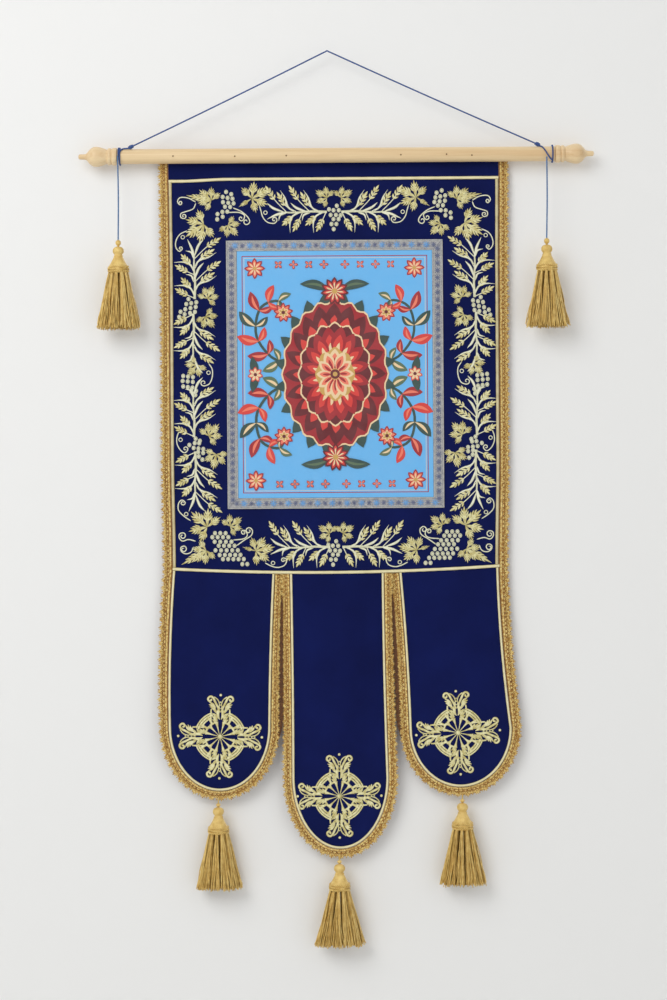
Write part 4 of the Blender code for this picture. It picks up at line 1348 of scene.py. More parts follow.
spray = {  # millimetres along the stem and to its side A, from the base of each unit
    "period": 44.6, "units": 2,
    "earsA": (((14, 1), (34, 12.5), (50, 38)), ((33, 1), (55, 24), (72, 50.5))),
    "earsB": (((2, -1), (7.5, -13), (20, -36.5)), ((12, -1), (22, -8), (40.5, -25))),
    "bladesA": (((17, 0), (29.5, 10), (35, 27), (44.5, 42)),),
    "thickA": (((36, 0), (57, 7.5), (69, 17.5)),),
    "bladesB": (((4, 0), (20, -7), (26, -21), (25.5, -39.5)), ((32, -1.5), (44, -5.5), (47.5, -16.5))),
    "tip": ((74, 0), (94, -4), (114, -13)),
    "shortTip": ((74, 0), (84, -3), (94, -7)),
}


def addSpray(shape, kernels, base, axis, sideA, tip, skipped):
    base, axis, across = np.array(base), np.array(axis, float), np.array(sideA, float)
    high, low, units = stitching["height"], stitching["base"], spray["units"]

    def put(points, shift):
        return [base + axis * (s + shift) + across * t for s, t in points]

    reach = spray["period"] * (units - 1) + 42
    stem = put([(0, 0), (reach * 0.35, 1.2), (reach * 0.7, -0.8), (reach, 0)], 0)
    addPad(shape, curveThrough(stem, 16), np.linspace(stitching["stem"], stitching["stemEnd"], 17), high, low,
           veinSection)
    for unit in range(units):
        shift = spray["period"] * unit
        for side in ("A", "B"):
            for number, ear in enumerate(spray["ears" + side]):
                if (unit, side, number) in skipped:
                    continue
                root, foot, end = put(ear, shift)
                stalk = curveThrough([root, foot, foot + (end - foot) * 0.9], 8)
                addCord(shape, stalk, stitching["stalk"], 1.0, low)
                makeEarPlaces(foot, end, kernels)
            for blade in spray["blades" + side]:
                addBlade(shape, put(blade, shift), stitching["blade"], high, 9, low, full=0.35)
        for blade in spray["thickA"]:
            addBlade(shape, put(blade, shift), stitching["thickBlade"], high, 7, low)
    if tip:
        addBlade(shape, put(spray[tip], spray["period"] * (units - 2)), stitching["tipBlade"], high, 7, low)


leafForm = {
    "size": 1.15,
    # degrees off the main lobe, length
    "lobes": ((0, 1.12), (50, 0.97), (-50, 0.97), (101, 0.84), (-101, 0.84)),
    "fingers": (  # where along the lobe it starts, degrees off it, length, half width
        (0.0, 0, 1.0, 0.098), (0.32, 42, 0.38, 0.05), (0.32, -42, 0.38, 0.05), (0.43, 34, 0.38, 0.048),
        (0.43, -34, 0.38, 0.048), (0.59, 28, 0.32, 0.042), (0.59, -28, 0.32, 0.042),
    ),
}


def addLeaf(shape, x, z, degrees, radius, longLobe=None):
    for number, (turn, share) in enumerate(leafForm["lobes"]):
        reach = radius * share * leafForm["size"]
        addLobe(shape, x, z, degrees + turn + 4 * math.sin(3 * number + x), reach)
    if longLobe:
        addLobe(shape, x, z, longLobe[0], longLobe[1], 0.45)


def addLobe(shape, x, z, degrees, long, narrow=1.0):
    lobe = math.radians(degrees)
    for number, (start, turn, share, wide) in enumerate(leafForm["fingers"]):
        along = heading(lobe + math.radians(turn * narrow**0.4))
        begin = np.array((x, z)) + heading(lobe) * long * start
        end = begin + along * long * share * (narrow**0.5 if turn else 1.0)
        bend = np.array((-along[1], along[0])) * long * 0.03 * np.sign(turn)
        addBlade(
            shape, [begin, (begin + end) / 2 + bend, end], long * wide * narrow**0.6, stitching["height"], 6,
            stitching["base"] + 0.06 * number, padSection if turn else veinSection, tip=0.02, full=0.42,
        )


def addHoop(shape, x, z, radius, width, height, base, tall=1.0):
    # a small closed ring of thread
    hoop = [(x + radius * math.cos(a), z + radius * tall * math.sin(a)) for a in np.linspace(0, tau, 13)[:-1]]
    addPad(shape, hoop, [width] * 12, height, base, cordSection, closed=True)


def addTendril(shape, points, loops=()):
    # points in the photograph, the last one the middle of the curl
    places = [np.array(fromPhoto(*point)) for point in points]
    centre, last, before = places[-1], places[-2], places[-3]
    arm = last - centre
    turnSign = 1 if np.cross(last - before, centre - last) > 0 else -1
    start, reach = math.atan2(arm[1], arm[0]), np.linalg.norm(arm)
    curl = [centre + heading(start + turnSign * t * tau * stitching["curl"]) * reach
            * (1 - stitching["curlShrink"] * t) for t in (k / 10 for k in range(1, 11))]
    line = evenly(curveThrough(places[:-1], 5 * len(places)) + curl, 3.0)
    end = [stitching["tendrilEnd"]]
    widths = end + [stitching["tendril"]] * (len(line) - 2) + end
    addPad(shape, line, widths, stitching["tendrilHeight"], stitching["base"], cordSection)
    radius, width, base = stitching["loop"], stitching["loopThread"], stitching["base"] + 0.1
    for point in loops:
        addHoop(shape, *fromPhoto(*point), radius, width, 1.0, base)


leaves = (  # photograph place of the root, degrees, radius in mm, and any long lobe (degrees, mm)
    (210.9, 199.7, 140, 24.0, (168, 49)), (203.5, 223.8, -150, 33.0, None), (227.6, 224.4, -45, 22.0, None),
    (251.7, 197.5, 30, 30.0, (213, 31)), (326.9, 197.0, 150, 20.5, None), (206.9, 298.1, 60, 21.5, None),
    (205.2, 316.0, -50, 22.0, None), (196.8, 364.6, -130, 22.0, None), (208.3, 435.8, 45, 24.0, None),
    (215.9, 454.1, -100, 24.0, None), (206.9, 527.0, 140, 33.0, None), (229.9, 526.4, 40, 22.0, None),
    (205.8, 550.5, -140, 25.0, (-150, 55)), (255.7, 551.2, 10, 29.0, (163, 27)),
    (329.7, 533.3, 150, 20.5, None),
)
tendrils = (  # photograph places along each, the last the middle of its curl; and its small loops
    (((195.4, 201.4), (188, 197.4), (179.9, 196.8), (177.1, 200.8), (179.3, 204.3), (179.7, 202)), ()),
    (((195.4, 202.6), (192.6, 208.3), (184.5, 211.2), (180.5, 212.9), (180.5, 216.9), (183.9, 218),
     (183.4, 215.4)), ()),
    (((232.7, 207.1), (240.8, 210.6), (246.5, 215.2), (249.4, 219.2), (245.9, 220.9)), ()),
    (((228.1, 211.7), (238.5, 211.7), (244.2, 214.6), (243.6, 218.6), (240.8, 217.7)), ()),
    (((259.1, 204.8), (260.9, 210.6), (262.6, 216.3), (267.2, 221.5), (274.1, 222.6), (276.9, 219.8),
     (274.1, 218.9)),
     ((265.2, 211.9),)),
    (((186.8, 230.1), (179.9, 233.5), (175.9, 239.3), (175.3, 246.2), (178.8, 250.8), (182.2, 248.5),
     (180.2, 247.9)),
     ((182.4, 236.6),)),
    (((208.5, 363.4), (211.9, 369), (211.9, 376.8), (209.1, 383.5), (204.1, 385.8), (203.2, 382.6)),
     ((208.2, 372.4),)),
    (((178.4, 431.8), (176.6, 437.1), (176.6, 443.4), (179.7, 449.6), (184.2, 452.8), (187.3, 450.5),
     (185.1, 448.8)),
     ((180.2, 439.6),)),
    (((190.3, 520.7), (183.4, 516.1), (178.2, 510.3), (178.2, 503.4), (181.6, 500), (185.1, 502.3),
     (182.4, 502.9)),
     ((185.9, 514.2),)),
    (((195.4, 541.3), (188, 539.6), (182.2, 541.3), (178.8, 537.9), (179.3, 533.9), (182.8, 532.7),
     (182.2, 536.2)), ()),
    (((193.1, 547.1), (190.8, 552.2), (185.7, 554), (181.1, 551.7), (180.5, 547.6), (183.9, 545.9),
     (183.1, 549.4)), ()),
    (((236.2, 545.9), (244.2, 540.2), (251.1, 535.6), (252.2, 530.4), (249.4, 527.6), (248.5, 530.8)), ()),
    (((232.7, 540.2), (243.1, 539), (247.1, 535.6), (245.4, 531), (241.9, 530.4), (243.4, 532.5)), ()),
    (((264.9, 563.1), (270.6, 566), (277.5, 567.7), (284.4, 565.4), (286.7, 559.7), (283.2, 558),
     (283.2, 560.3)),
     ((272.9, 563.2),)),
)
berryRows = (  # photograph place of the row's first berry, how many, and the step to the next in pixels
    (225.8, 191.1, 2, 5.2, 2.3), (222.4, 196.2, 3, 4.9, 0.9), (222.7, 201.4, 3, 5.3, 0.6),
    (224.7, 206.0, 2, 5.2, 0.2), (222.1, 211.2, 2, 4.9, -0.3), (217.2, 213.4, 1, 0, 0),
    (222.4, 216.0, 1, 0, 0), (216.9, 218.6, 1, 0, 0), (188.2, 298.7, 1, 0, 0),
    (186.0, 303.7, 3, 5.0, -0.9), (185.0, 308.9, 3, 5.2, -1.2), (180.2, 311.4, 1, 0, 0),
    (184.3, 313.9, 1, 0, 0), (189.8, 312.7, 2, 4.8, -1.2), (178.8, 316.5, 1, 0, 0),
    (182.9, 375.7, 3, 4.9, 0.6), (182.3, 380.7, 3, 5.1, 0.5), (182.9, 386.2, 3, 4.6, 0.6),
    (191.2, 391.4, 2, 4.6, -0.8), (195.1, 394.9, 1, 0, 0), (195.4, 438.5, 2, 4.2, 2.2),
    (194.5, 443.0, 2, 4.4, 0.2), (189.1, 444.9, 1, 0, 0), (193.4, 447.9, 3, 4.8, 0.5),
    (198.0, 452.0, 2, 4.9, 0.9), (198.5, 456.4, 1, 0, 0), (202.1, 459.5, 1, 0, 0),
    (214.7, 533.3, 3, 5.3, 0), (212.1, 537.3, 4, 5.3, 0), (214.4, 541.9, 4, 5.6, 0),
    (218.4, 545.9, 4, 5.3, 0), (215.2, 550.5, 5, 5.6, 0), (219.4, 555.1, 5, 5.2, 0),
    (222.7, 559.3, 5, 5.2, 0), (242.1, 564.3, 2, 5.0, 0),
)
middleBerries = (  # the bunch between two leaves, in pixels from its top, drawn at both its places
    (2.0, 0.0), (-5.8, 3.6), (-1.3, 4.5), (4.0, 4.5), (-4.2, 9.2), (1.1, 9.2), (5.8, 9.6), (-1.3, 13.4),
    (3.8, 13.4), (-3.3, 18.3), (1.6, 18.3), (-1.1, 23.4),
)


def makeEmbroidery():
    vine, foliage, kernels = newShape(), newShape(), []
    left, up, right, down = (-1, 0), (0, 1), (1, 0), (0, -1)
    for place, axis, side, tip, skipped in (
        ((194.3, 298.7), up, right, "tip", ()),
        ((192.9, 313.2), down, right, None, ((1, "A", 1),)),
        ((193.6, 437.1), up, right, "shortTip", ((1, "A", 1),)),
        ((194.9, 451.4), down, right, "tip", ()),
        ((326.9, 211.2), left, up, "tip", ()),
        ((330.3, 547.3), left, up, "tip", ()),
    ):
        addSpray(vine, kernels, fromPhoto(*place), axis, side, tip, skipped)
    for px, py, *look in leaves:
        addLeaf(foliage, *fromPhoto(px, py), *look)
    for points, loops in tendrils:
        addTendril(vine, points, loops)
    berries = [
        fromPhoto(px + stepX * k, py + stepY * k)
        for px, py, count, stepX, stepY in berryRows for k in range(count)
    ]
    berries += [(2 * mirrorX - x, z) for x, z in berries]
    berries += [
        fromPhoto(x + dx, y + dy) for x, y in ((334.8, 205.0), (334.2, 541.4)) for dx, dy in middleBerries
    ]
    berries = [(x, z, stitching["base"], 0.0, 1.0) for x, z in berries]
    kernels += [(2 * mirrorX - x, z, h, math.pi - turn, size) for x, z, h, turn, size in kernels]
    for name, shape, finish in (("vine", vine, "paleEmbroidery"), ("leaves", foliage, "goldEmbroidery")):
        addPiece(name + "Left", shape, finish, "gold_thread")
        addPiece(name + "Right", mirrored(shape, mirrorX), finish, "gold_thread")
    kernel, long = newShape(), stitching["kernelLong"]
    addBlade(kernel, [(0, 0), (long / 2, 0.15), (long, 0)], stitching["kernelWide"], 1.7, base=0.0, full=0.42)
    addMotifs("wheatKernels", kernel, kernels, "goldEmbroidery", "gold_thread")
    berry = domeShape(stitching["berry"], 13, 1.12)
    addMotifs("grapes", berry, berries, "paleEmbroidery", "gold_thread")


makeEmbroidery()
print("embroidery made")


# Crosses on the lappets

cross = {
    "height": 1.6, "base": 0.15, "scale": (0.992, 0.984),
    "centres": {  # x, z, degrees
        "Left": (-212.2, -1301.5, -1.3), "Middle": (14.1, -1415.6, 0.0), "Right": (240.4, -1297.0, 3.0),
    },
    "sideBlades": ((25, 15.5, 33, 3.0), (30, 15.6, 39, 3.1), (35, 15.2, 45, 3.0), (44, 13.8, 52, 2.6)),
    "fanBlades": (
        (21.8, 66.5, 9, 57, 2.2), (22.6, 62.0, 8.4, 54.5, 2.4), (20.8, 57.6, 8.2, 52, 2.4),
        (17.6, 54.0, 7.5, 50, 2.2),
    ),
    "armButtons": ((80.2, 2.6), (66.5, 1.5)),  # z, radius
    "hoopMiddles": (30, 60, 120, 150, 210, 240, 300, 330), "hoopRadius": 28.6,
    "arcs": ((44.2, 2.2, 26), (48.4, 1.5, 26), (39.8, 1.7, 17)),  # radius, half width, reach in degrees
}


def addArc(shape, radius, middle, reach, width, height, base, steps):
    angles = np.radians(np.linspace(middle - reach, middle + reach, steps + 1))
    addCord(shape, [radius * heading(angle) for angle in angles], width, height, base)


def addButton(shape, z, radius, sides, profile):
    # a small round on the arm's middle line: profile of (share of the radius, height, painted light)
    layers = []
    for share, height, crest in profile:
        places = [(x, z + dz) for x, dz in circle(radius * share, sides)]
        layers.append(([(x, pz, cross["base"] + height) for x, pz in places], places, [crest] * sides))
    addLayers(shape, layers)


def addCrossArm(shape):
    # the arm that points up, drawn once for each side
    high, base = cross["height"], cross["base"]
    for s in (1, -1):
        def put(*points):
            return [(s * x, z) for x, z in points]

        addCord(shape, curveThrough(put((17, 16), (17.4, 30), (18.2, 42), (17.6, 53)), 9), 1.5, high, base)
        addBlade(shape, put((1.2, 33), (4.6, 40), (4.2, 50), (1.4, 58)), 3.0, high, 8, base + 0.1)
        for z, tipX, tipZ, wide in cross["sideBlades"]:
            line = put((5.2, z), ((5.2 + tipX) / 2 - 0.6, (z + tipZ) / 2 + 0.8), (tipX, tipZ))
            addBlade(shape, line, wide, high, 6, base + 0.05, veinSection)
        stem = put((1.5, 47), (5.2, 57), (9.8, 66), (14, 74.4), (18.8, 77.4), (23.2, 74.8), (23.8, 70.4),
                   (20.6, 68.2), (17.6, 70.2), (18.4, 72.8))
        line = evenly(curveThrough(stem, 30), 2.0)
        widths = [1.8 + 0.5 * math.sin(math.pi * k / len(line)) for k in range(len(line))]
        addPad(shape, line, widths, high, base + 0.15, cordSection)
        for tipX, tipZ, rootX, rootZ, wide in cross["fanBlades"]:
            line = put((rootX, rootZ), ((rootX + tipX) / 2, (rootZ + tipZ) / 2 + 1.2), (tipX, tipZ))
            addBlade(shape, line, wide, high, 6, base + 0.05)
        inner = curveThrough(put((1.4, 60), (3.2, 67.5), (7.0, 73), (12.5, 76.6)), 8)
        addCord(shape, inner, 1.2, high, base + 0.1, cordSection)
    addHoop(shape, 0.0, 57.5, 3.2, 1.0, high, base + 0.2, 3.4 / 3.2)
    for z, radius in cross["armButtons"]:
        addButton(shape, z, radius, 12, ((1.0, 0.0, 0.0), (0.9, 0.9, 0.9 / 1.4), (0.4, 1.4, 1.0)))


def turnedShape(shape, cosine, sine, moveX=0.0, moveZ=0.0, scale=(1.0, 1.0)):
    made = dict(shape)
    scaled = [(x * scale[0], z * scale[1], height) for x, z, height in shape["points"]]
    made["points"] = [
        (moveX + x * cosine - z * sine, moveZ + x * sine + z * cosine, height) for x, z, height in scaled
    ]
    return made


def makeCrossShape():
    arm, high, base = newShape(), cross["height"], cross["base"]
    addCrossArm(arm)
    whole = joined(*(turnedShape(arm, *turn) for turn in ((1, 0), (0, 1), (-1, 0), (0, -1))))
    for k in range(12):  # rays between the twelve openings of the rosette
        run = heading(math.radians(15 + 30 * k))
        spine = [run * r for r in (1.5, 8, 14, 20, 25, 29)]
        addPad(whole, spine, [0.8, 0.75, 1.0, 1.6, 2.7, 4.0], high * 0.9, base + 0.2, cordSection)
    for middle in cross["hoopMiddles"]:  # closes the eight round-ended openings
        addArc(whole, cross["hoopRadius"], middle, 14, 1.9, high, base + 0.1, 5)
    for diagonal in (45, 135, 225, 315):
        for radius, width, reach in cross["arcs"]:
            addArc(whole, radius, diagonal, reach, width, high, base, 10)
        for turn in (-13, 13):
            spine = [heading(math.radians(diagonal + turn)) * r for r in (27, 33, 39, 45)]
            addPad(whole, spine, [2.6, 2.2, 2.2, 2.4], high, base + 0.05)
    addButton(whole, 0.0, 3.6, 16, ((1.0, 0.0, 0.0), (0.95, 1.2, 1.0), (0.55, 1.9, 1.0), (0.2, 2.0, 1.0)))
    return whole


crossShape = makeCrossShape()
for name, (moveX, moveZ, degrees) in cross["centres"].items():
    made = turnedShape(crossShape, *heading(math.radians(degrees)), moveX, moveZ, cross["scale"])
    addPiece("cross" + name, made, "goldEmbroidery", "gold_thread")
print("crosses made")


# Rod, finials and nails

wood = {
    "sides": 56, "rodSteps": 60, "rodEnd": ((0.0, 1.2), (0.5, 0.4), (1.2, 0.0)),  # inwards, off the radius
    "evenFrom": 3, "unevenness": 0.003, "finialLength": 74.0,
    "finial": (  # distance from the tip, radius
        (0.0, 0.6), (0.3, 2.4), (1.4, 4.4), (4, 5.0), (12.0, 5.2), (14.6, 5.8), (17.4, 8.2), (20.6, 12.4),
        (24.6, 16.2), (29.4, 18.6), (34.0, 19.0), (39.0, 18.5), (44.0, 17.2), (50.0, 15.2), (53.6, 13.8),
        (55.2, 13.4), (56.0, 14.4), (57.5, 15.8), (59.5, 16.2), (61.5, 15.9), (62.8, 14.6), (63.5, 14.2),
        (64.4, 15.6), (66.0, 16.4), (69, 16.6), (72.0, 16.4), (73.6, 15.6), (74.0, 14.6),
    ),
    "nails": (  # x, above the rod's middle
        (-293.0, -1.4), (-176.0, -2.6), (-78.5, -2.0), (138.5, -1.8), (225.0, -1.4), (273.0, -3.4),
    ),
    "nailHead": ((1.5, -0.3), (1.5, 0.25), (1.1, 0.65), (0.4, 0.85)),
}


def addWood(name, profile, node, smoothDegrees=50):
    # a shape turned round the rod's axis: profile of (x, radius)
    shape, sides = newShape(), wood["sides"]
    addLayers(shape, [
        ([(x, y, banner["rodZ"] + z) for y, z in circle(radius, sides)],
         [(x, tau * k / sides * radius) for k in range(sides)], [0.5] * sides)
        for x, radius in profile
    ])
    addPiece(name, shape, "birch", "birch", node, place=inSpace, smoothDegrees=smoothDegrees)


def onRodFront(points):
    # places on the front half of the rod's surface
    x, z, _ = np.array(points, float).T
    return np.stack((x, -np.sqrt(banner["rodRadius"]**2 - (z - banner["rodZ"])**2), z), axis=1) * mm


def makeWood():
    left, right, radius = banner["rodLeft"], banner["rodRight"], banner["rodRadius"]
    count, inset = wood["rodSteps"], wood["evenFrom"]
    profile = [(left + inwards, radius - less) for inwards, less in wood["rodEnd"]]
    for k in range(count + 1):
        x = left + inset + (right - left - 2 * inset) * k / count
        profile.append((x, radius * (1 + wood["unevenness"] * math.sin(k))))
    profile += [(right - inwards, radius - less) for inwards, less in wood["rodEnd"][::-1]]
    addWood("rodWood", profile, "rod")
    for name, start, sign in (("Left", left - gap, 1), ("Right", right + gap, -1)):
        tip = start - sign * wood["finialLength"]
        profile = [(tip + sign * along, reach) for along, reach in wood["finial"]]
        addWood("finial" + name, profile, "finial_" + name.lower(), 45)
    places = [(x, banner["rodZ"] + up, 0, 0.0, 1.0) for x, up in wood["nails"]]
    addMotifs("rodNails", domeShape(wood["nailHead"], 12), places, "brownNail", "birch", onRodFront)


makeWood()
print("rod made")


# Cords and knots

cord = {
    "radius": 1.5, "pitch": 8.0, "sides": 12, "strands": 3, "step": 0.8, "pathStep": 8.0,
    "knotSize": (6.4, 4.2, 4.2), "knotAngle": 72.0, "knotX": {"left": -373.0, "right": 398.0},
    "knotTurns": 3, "knotSteps": 72, "knotThread": 1.45, "knotCore": 1.6,
    "ringX": {"left": -394.4, "right": 426.2}, "tailX": {"left": -397.6, "right": 414.6}, "turnPitch": 2.3,
    "tailTop": {"left": -198.9, "right": -206.0}, "tailBow": 0.8,
    "strand": {
        "left": ((-376, 70), (-382, 66), (-388, 58), (-392, 42), (-394.2, 20), (-394.4, 0)),
        "right": ((402, 66), (407, 46), (412, 16), (416.5, -12), (421, -36), (425.6, -58)),
    },
    "route": ((0.0, 0.0), (0.25, 0.9), (0.5, 1.2), (0.75, 0.9), (0.96, 0.2), (0.99, 0.3)),  # share, sag
}
cord["wrap"] = banner["rodRadius"] + cord["radius"] + gap  # from the rod's axis to the middle of a turn


def roundRod(x, degrees, radius=cord["wrap"]):
    angle = math.radians(degrees)
    return np.array((x, -radius * math.cos(angle), banner["rodZ"] + radius * math.sin(angle)))


def knotPlace(side):
    return roundRod(cord["knotX"][side], cord["knotAngle"], banner["rodRadius"] + cord["knotSize"][2] + 0.2)


def addTwisted(shape, line, pitch=cord["pitch"], closed=False):
    addTube(shape, line, cord["radius"], cord["sides"], closed, cord["strands"], pitch)


def makeCordPiece(name, points, node, finish):
    shape = newShape()
    addTwisted(shape, evenly(points, cord["step"]))
    piece = addPiece(name, shape, finish, "blue_cord", node, place=inSpace, smoothDegrees=80)


def makeCords():
    halves = []
    for side in ("left", "right"):
        knot = knotPlace(side)
        start = knot - knot / np.linalg.norm(knot) * (cord["knotSize"][0] + gap)
        halves.append([start * (1 - t) - np.array((0, 0, sag)) for t, sag in cord["route"]])
    line = curveThrough(halves[0] + [np.zeros(3)] + halves[1][::-1], 120)
    makeCordPiece("hangingCord", line, "hanging_cord", "blueCord")
    for side in ("left", "right"):
        x, _, topZ, _ = tassels[side.title()]
        start = np.array((cord["tailX"][side], -cord["wrap"], cord["tailTop"][side]))
        end = np.array((x, -cord["wrap"], topZ + gap))
        middle = (start + end) / 2 + np.array((cord["tailBow"], 0, 0))
        line = curveThrough([start, middle, end], 40)
        makeCordPiece("tailCord" + side.title(), line, "cord_" + side, "lightCord")
    for side in ("left", "right"):
        shape, ringX = newShape(), cord["ringX"][side]
        turn = [roundRod(ringX, 360 * k / 72) for k in range(72)]
        addTwisted(shape, turn, tau * cord["wrap"] / 12, closed=True)
        addTwisted(shape, curveThrough([roundRod(x, degrees) for x, degrees in cord["strand"][side]], 40))
        if side == "left":
            addTwisted(shape, [roundRod(ringX - cord["turnPitch"], 180 - 180 * k / 40) for k in range(41)])
        addKnotWraps(shape, side)
        addPiece("knot" + side.title(), shape, "blueCord", "blue_cord", "knot_" + side, place=inSpace,
                 smoothDegrees=80)


def addKnotWraps(shape, side):
    # turns of the cord round itself, along the way that it leaves the knot
    knot = knotPlace(side)
    long, wide, _ = cord["knotSize"]
    run = -knot / np.linalg.norm(knot)
    over = np.cross(run, (0, 1, 0))
    over /= np.linalg.norm(over)
    beside = np.cross(run, over)
    line = []
    for k in range(cord["knotSteps"] + 1):
        t = k / cord["knotSteps"]
        angle = t * tau * cord["knotTurns"]
        reach = (wide - cord["radius"]) * math.sin(math.pi * (0.14 + 0.72 * t)) ** 0.5
        out = over * math.cos(angle) + beside * math.sin(angle)
        line.append(knot + run * long * (1.3 * t - 0.65) + out * reach)
    addTube(shape, line, cord["knotThread"], 8)
    addTube(shape, [knot - run * long * 0.9, knot, knot + run * (long + 0.3)], cord["knotCore"], 10)


tassels = {  # x, height of the ball's middle, top, half width of the hem
    "Left": (-397.6, -378.6, -358.4, 41.0), "Right": (413.4, -380.4, -360.2, 40.0),
    "LappetLeft": (-216.2, -1443.0, -1417.0, 43.0), "LappetMiddle": (13.2, -1552.0, -1527.0, 46.0),
    "LappetRight": (247.4, -1438.0, -1413.0, 43.0),
}
makeCords()
print("cords made")


# Tassels

tassel = {
    "profile": (  # below the ball's middle, radius
        (-7.8, 2.2), (-7.4, 4.4), (-6.4, 6.8), (-4.4, 9.0), (-1.6, 10.2), (1.4, 10.4), (3.8, 9.8), (6.0, 8.5),
        (7.6, 7.3), (8.6, 7.2), (9.6, 8.0), (11.0, 8.4), (12.4, 8.6), (15.0, 9.9), (18.0, 11.3), (21.0, 12.8),
        (24.0, 14.5), (27.0, 16.4), (29.0, 17.4), (34.0, 17.8), (41.0, 18.0), (43.0, 16.0),
    ),
    "beads": {  # the wound bead over the ball, in the same way
        "cord": (
            (-19.8, 1.8), (-19.0, 3.6), (-17.4, 4.8), (-15.4, 5.2), (-13.0, 5.0), (-11.0, 4.0), (-9.6, 2.6),
            (-8.4, 2.2),
        ),
        "lappet": (
            (-15.0, 1.6), (-14.4, 3.1), (-13.0, 4.0), (-11.6, 4.2), (-10.2, 3.7), (-9.2, 2.6), (-8.4, 2.0),
        ),
    },
    "collars": (  # below the middle, radius, thickness
        (30.6, 18.2, 2.1), (34.6, 18.9, 2.1), (38.6, 18.7, 2.2), (10.6, 8.2, 0.9),
    ),
    "sides": 72, "beadSides": 24, "loop": 1.6, "loopFoot": 7.0, "loopPitch": 6.0, "clearance": 0.3,
    "strands": 640, "rootRadius": 18.2, "rootDepth": 39.5, "skirt": 108.5, "flatness": 0.58, "locks": 11,
    "gather": 0.6, "thread": 0.95,
}


def windings(angle, z):
    # threads that run down the head and cross on the ball
    depth = 0.018 if z < -9 else 0.03
    return depth * math.sin(24 * angle + (z * 0.55 if z > -9 else 0.0))


def addCollar(shape, z, radius, thick):
    # a twisted cord that lies unevenly round the head
    ring = []
    for k in range(60):
        angle = tau * k / 60
        lift = 0.9 * math.sin(3 * angle + z) + 0.9 * math.sin(angle)
        ring.append((radius * math.cos(angle), radius * math.sin(angle), z + lift))
    addTube(shape, ring, thick, 8, closed=True, lobes=2, pitch=tau * radius / 14, hollow=0.45)


def makeTassel(name):
    x, ballZ, topZ, hem = tassels[name]
    onLappet = "Lappet" in name
    y = -cord["wrap"]
    if onLappet:
        out = -lace["middleOut"] - lace["thick"] if "Middle" in name else lace["setBack"]
        y = clothFront - float(drape(x, topZ)) + out - gap - tassel["loop"] - tassel["clearance"]
    head, loop = newShape(), topZ - ballZ
    bead = tassel["beads"]["lappet" if onLappet else "cord"]
    for profile, sides in ((tassel["profile"], tassel["sides"]), (bead, tassel["beadSides"])):
        addTurned(head, [(-depth, radius) for depth, radius in profile], sides, windings)
    for depth, radius, thick in tassel["collars"]:
        addCollar(head, -depth, radius, thick)
    line = [(0, 0, loop + (tassel["loopFoot"] - loop) * k / 12) for k in range(13)]
    addTube(head, line, cord["radius"], cord["sides"], lobes=cord["strands"], pitch=tassel["loopPitch"])
    head["points"] = [(px + x, py + y, pz + ballZ) for px, py, pz in head["points"]]
    node = "tassel_" + name.lower().replace("lappet", "lappet_")
    addPiece("tasselHead" + name, head, "goldSatin", "gold_thread", node, place=inSpace, smoothDegrees=70)
    start = bpy.data.meshes.new("start")
    start.from_pydata([(0, 0, 0)], [], [])
    skirt = runTree(skirtTree, start, {
        "Strands": tassel["strands"], "Root Radius": tassel["rootRadius"] * mm, "Hem Radius": hem * mm,
        "Length": tassel["skirt"] * mm, "Flatness": tassel["flatness"], "Locks": tassel["locks"],
        "Gather": tassel["gather"], "Thread Radius": tassel["thread"] * mm, "Seed": len(name) * 3,
        "Finish": finishes["goldSatin"],
    })
    skirt.transform(Matrix.Translation((x * mm, y * mm, (ballZ - tassel["rootDepth"]) * mm)))
    skirt.uv_layers.new(name="threads")
    skirt.shade_smooth()
    addPiece("tasselSkirt" + name, skirt, "goldSatin", "gold_thread", node)


for name in tassels:
    makeTassel(name)
print("tassels made")


# Wall, floor, light and camera

studio = {
    "wall": (0.86, 0.86, 0.85), "floor": (0.80, 0.80, 0.79), "floorZ": -1.95, "wallGap": 0.0015, "reach": 8.0,
    "lights": {  # place, what it is aimed at, size, power
        "key": ((-2.0, -3.2, 1.2), (0.1, 0.0, -0.9), 2.6, 79.0),
        "fill": ((2.6, -3.0, -0.6), (0.0, 0.0, -0.9), 3.0, 12.0),
        "behind": ((1.6, 3.4, 0.6), (0.0, 0.0, -0.9), 2.4, 45.0),
    },
    "worldStrength": 0.55, "cameraPlace": (0.0065, -4.5, -0.8532), "lens": 85.3, "turn": 0.392,
}


def addPlane(name, corners, material):
    mesh = bpy.data.meshes.new(name)
    mesh.from_pydata(corners, [], [(0, 1, 2, 3)])
    mesh.materials.append(material)
    linked(name, mesh)


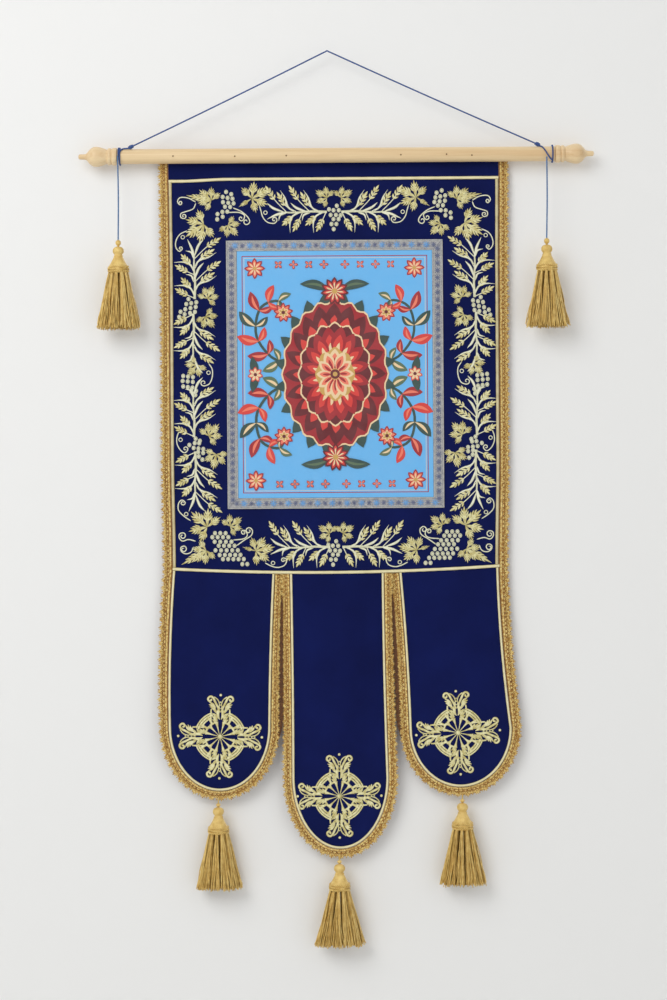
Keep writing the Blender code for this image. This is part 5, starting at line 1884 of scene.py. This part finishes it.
def wallPaint(name, colour, letsLightIn):
    # painted plaster that a camera behind it sees through; a wall also lets light reach the back of the piece
    made = bpy.data.materials.new(name)
    made.use_nodes = True
    tree = made.node_tree
    tree.nodes.remove(tree.nodes["Principled BSDF"])
    paint = addNode(tree, "ShaderNodeBsdfDiffuse", {"Color": colour})
    clear = addNode(tree, "ShaderNodeBsdfTransparent")
    back = addNode(tree, "ShaderNodeNewGeometry", out="Backfacing")
    if letsLightIn:
        back = addSum(tree, "MAXIMUM", back, addNode(tree, "ShaderNodeLightPath", out="Is Shadow Ray"))
    mix = addNode(tree, "ShaderNodeMixShader", {0: back, 1: paint, 2: clear})
    tree.links.new(mix, tree.nodes["Material Output"].inputs["Surface"])
    return made


def addAreaLight(name, place, target, size, power):
    light = bpy.data.lights.new(name, "AREA")
    light.shape, light.size, light.energy = "SQUARE", size, power
    item = linked(name, light)
    item.location = place
    item.rotation_euler = (Vector(target) - Vector(place)).to_track_quat("-Z", "Y").to_euler()


def makeStudio():
    wallY = cadBounds[1][1] + studio["wallGap"]
    reach, z = studio["reach"], studio["floorZ"]
    wall = [(-reach, wallY, z), (reach, wallY, z), (reach, wallY, reach), (-reach, wallY, reach)]
    floor = [(-reach, -reach, z), (reach, -reach, z), (reach, reach, z), (-reach, reach, z)]
    addPlane("wall", wall, wallPaint("wallPaint", studio["wall"], True))
    addPlane("floor", floor, wallPaint("floorPaint", studio["floor"], False))
    for name, look in studio["lights"].items():
        addAreaLight(name, *look)
    world = bpy.data.worlds.new("studioAir")
    world.use_nodes = True
    air = world.node_tree.nodes["Background"].inputs
    air["Color"].default_value = (1, 1, 1, 1)
    air["Strength"].default_value = studio["worldStrength"]
    bpy.context.scene.world = world
    bpy.context.scene.view_settings.view_transform = "Standard"


def makeCamera():
    camera = bpy.data.cameras.new("camera")
    camera.sensor_fit, camera.sensor_height, camera.lens = "VERTICAL", 36.0, studio["lens"]
    item = linked("camera", camera)
    turned = Matrix.Rotation(math.radians(studio["turn"]), 4, "Y") @ Matrix.Rotation(math.radians(90), 4, "X")
    item.matrix_world = Matrix.Translation(studio["cameraPlace"]) @ turned
    bpy.context.scene.camera = item


makeStudio()
makeCamera()
print("studio made")
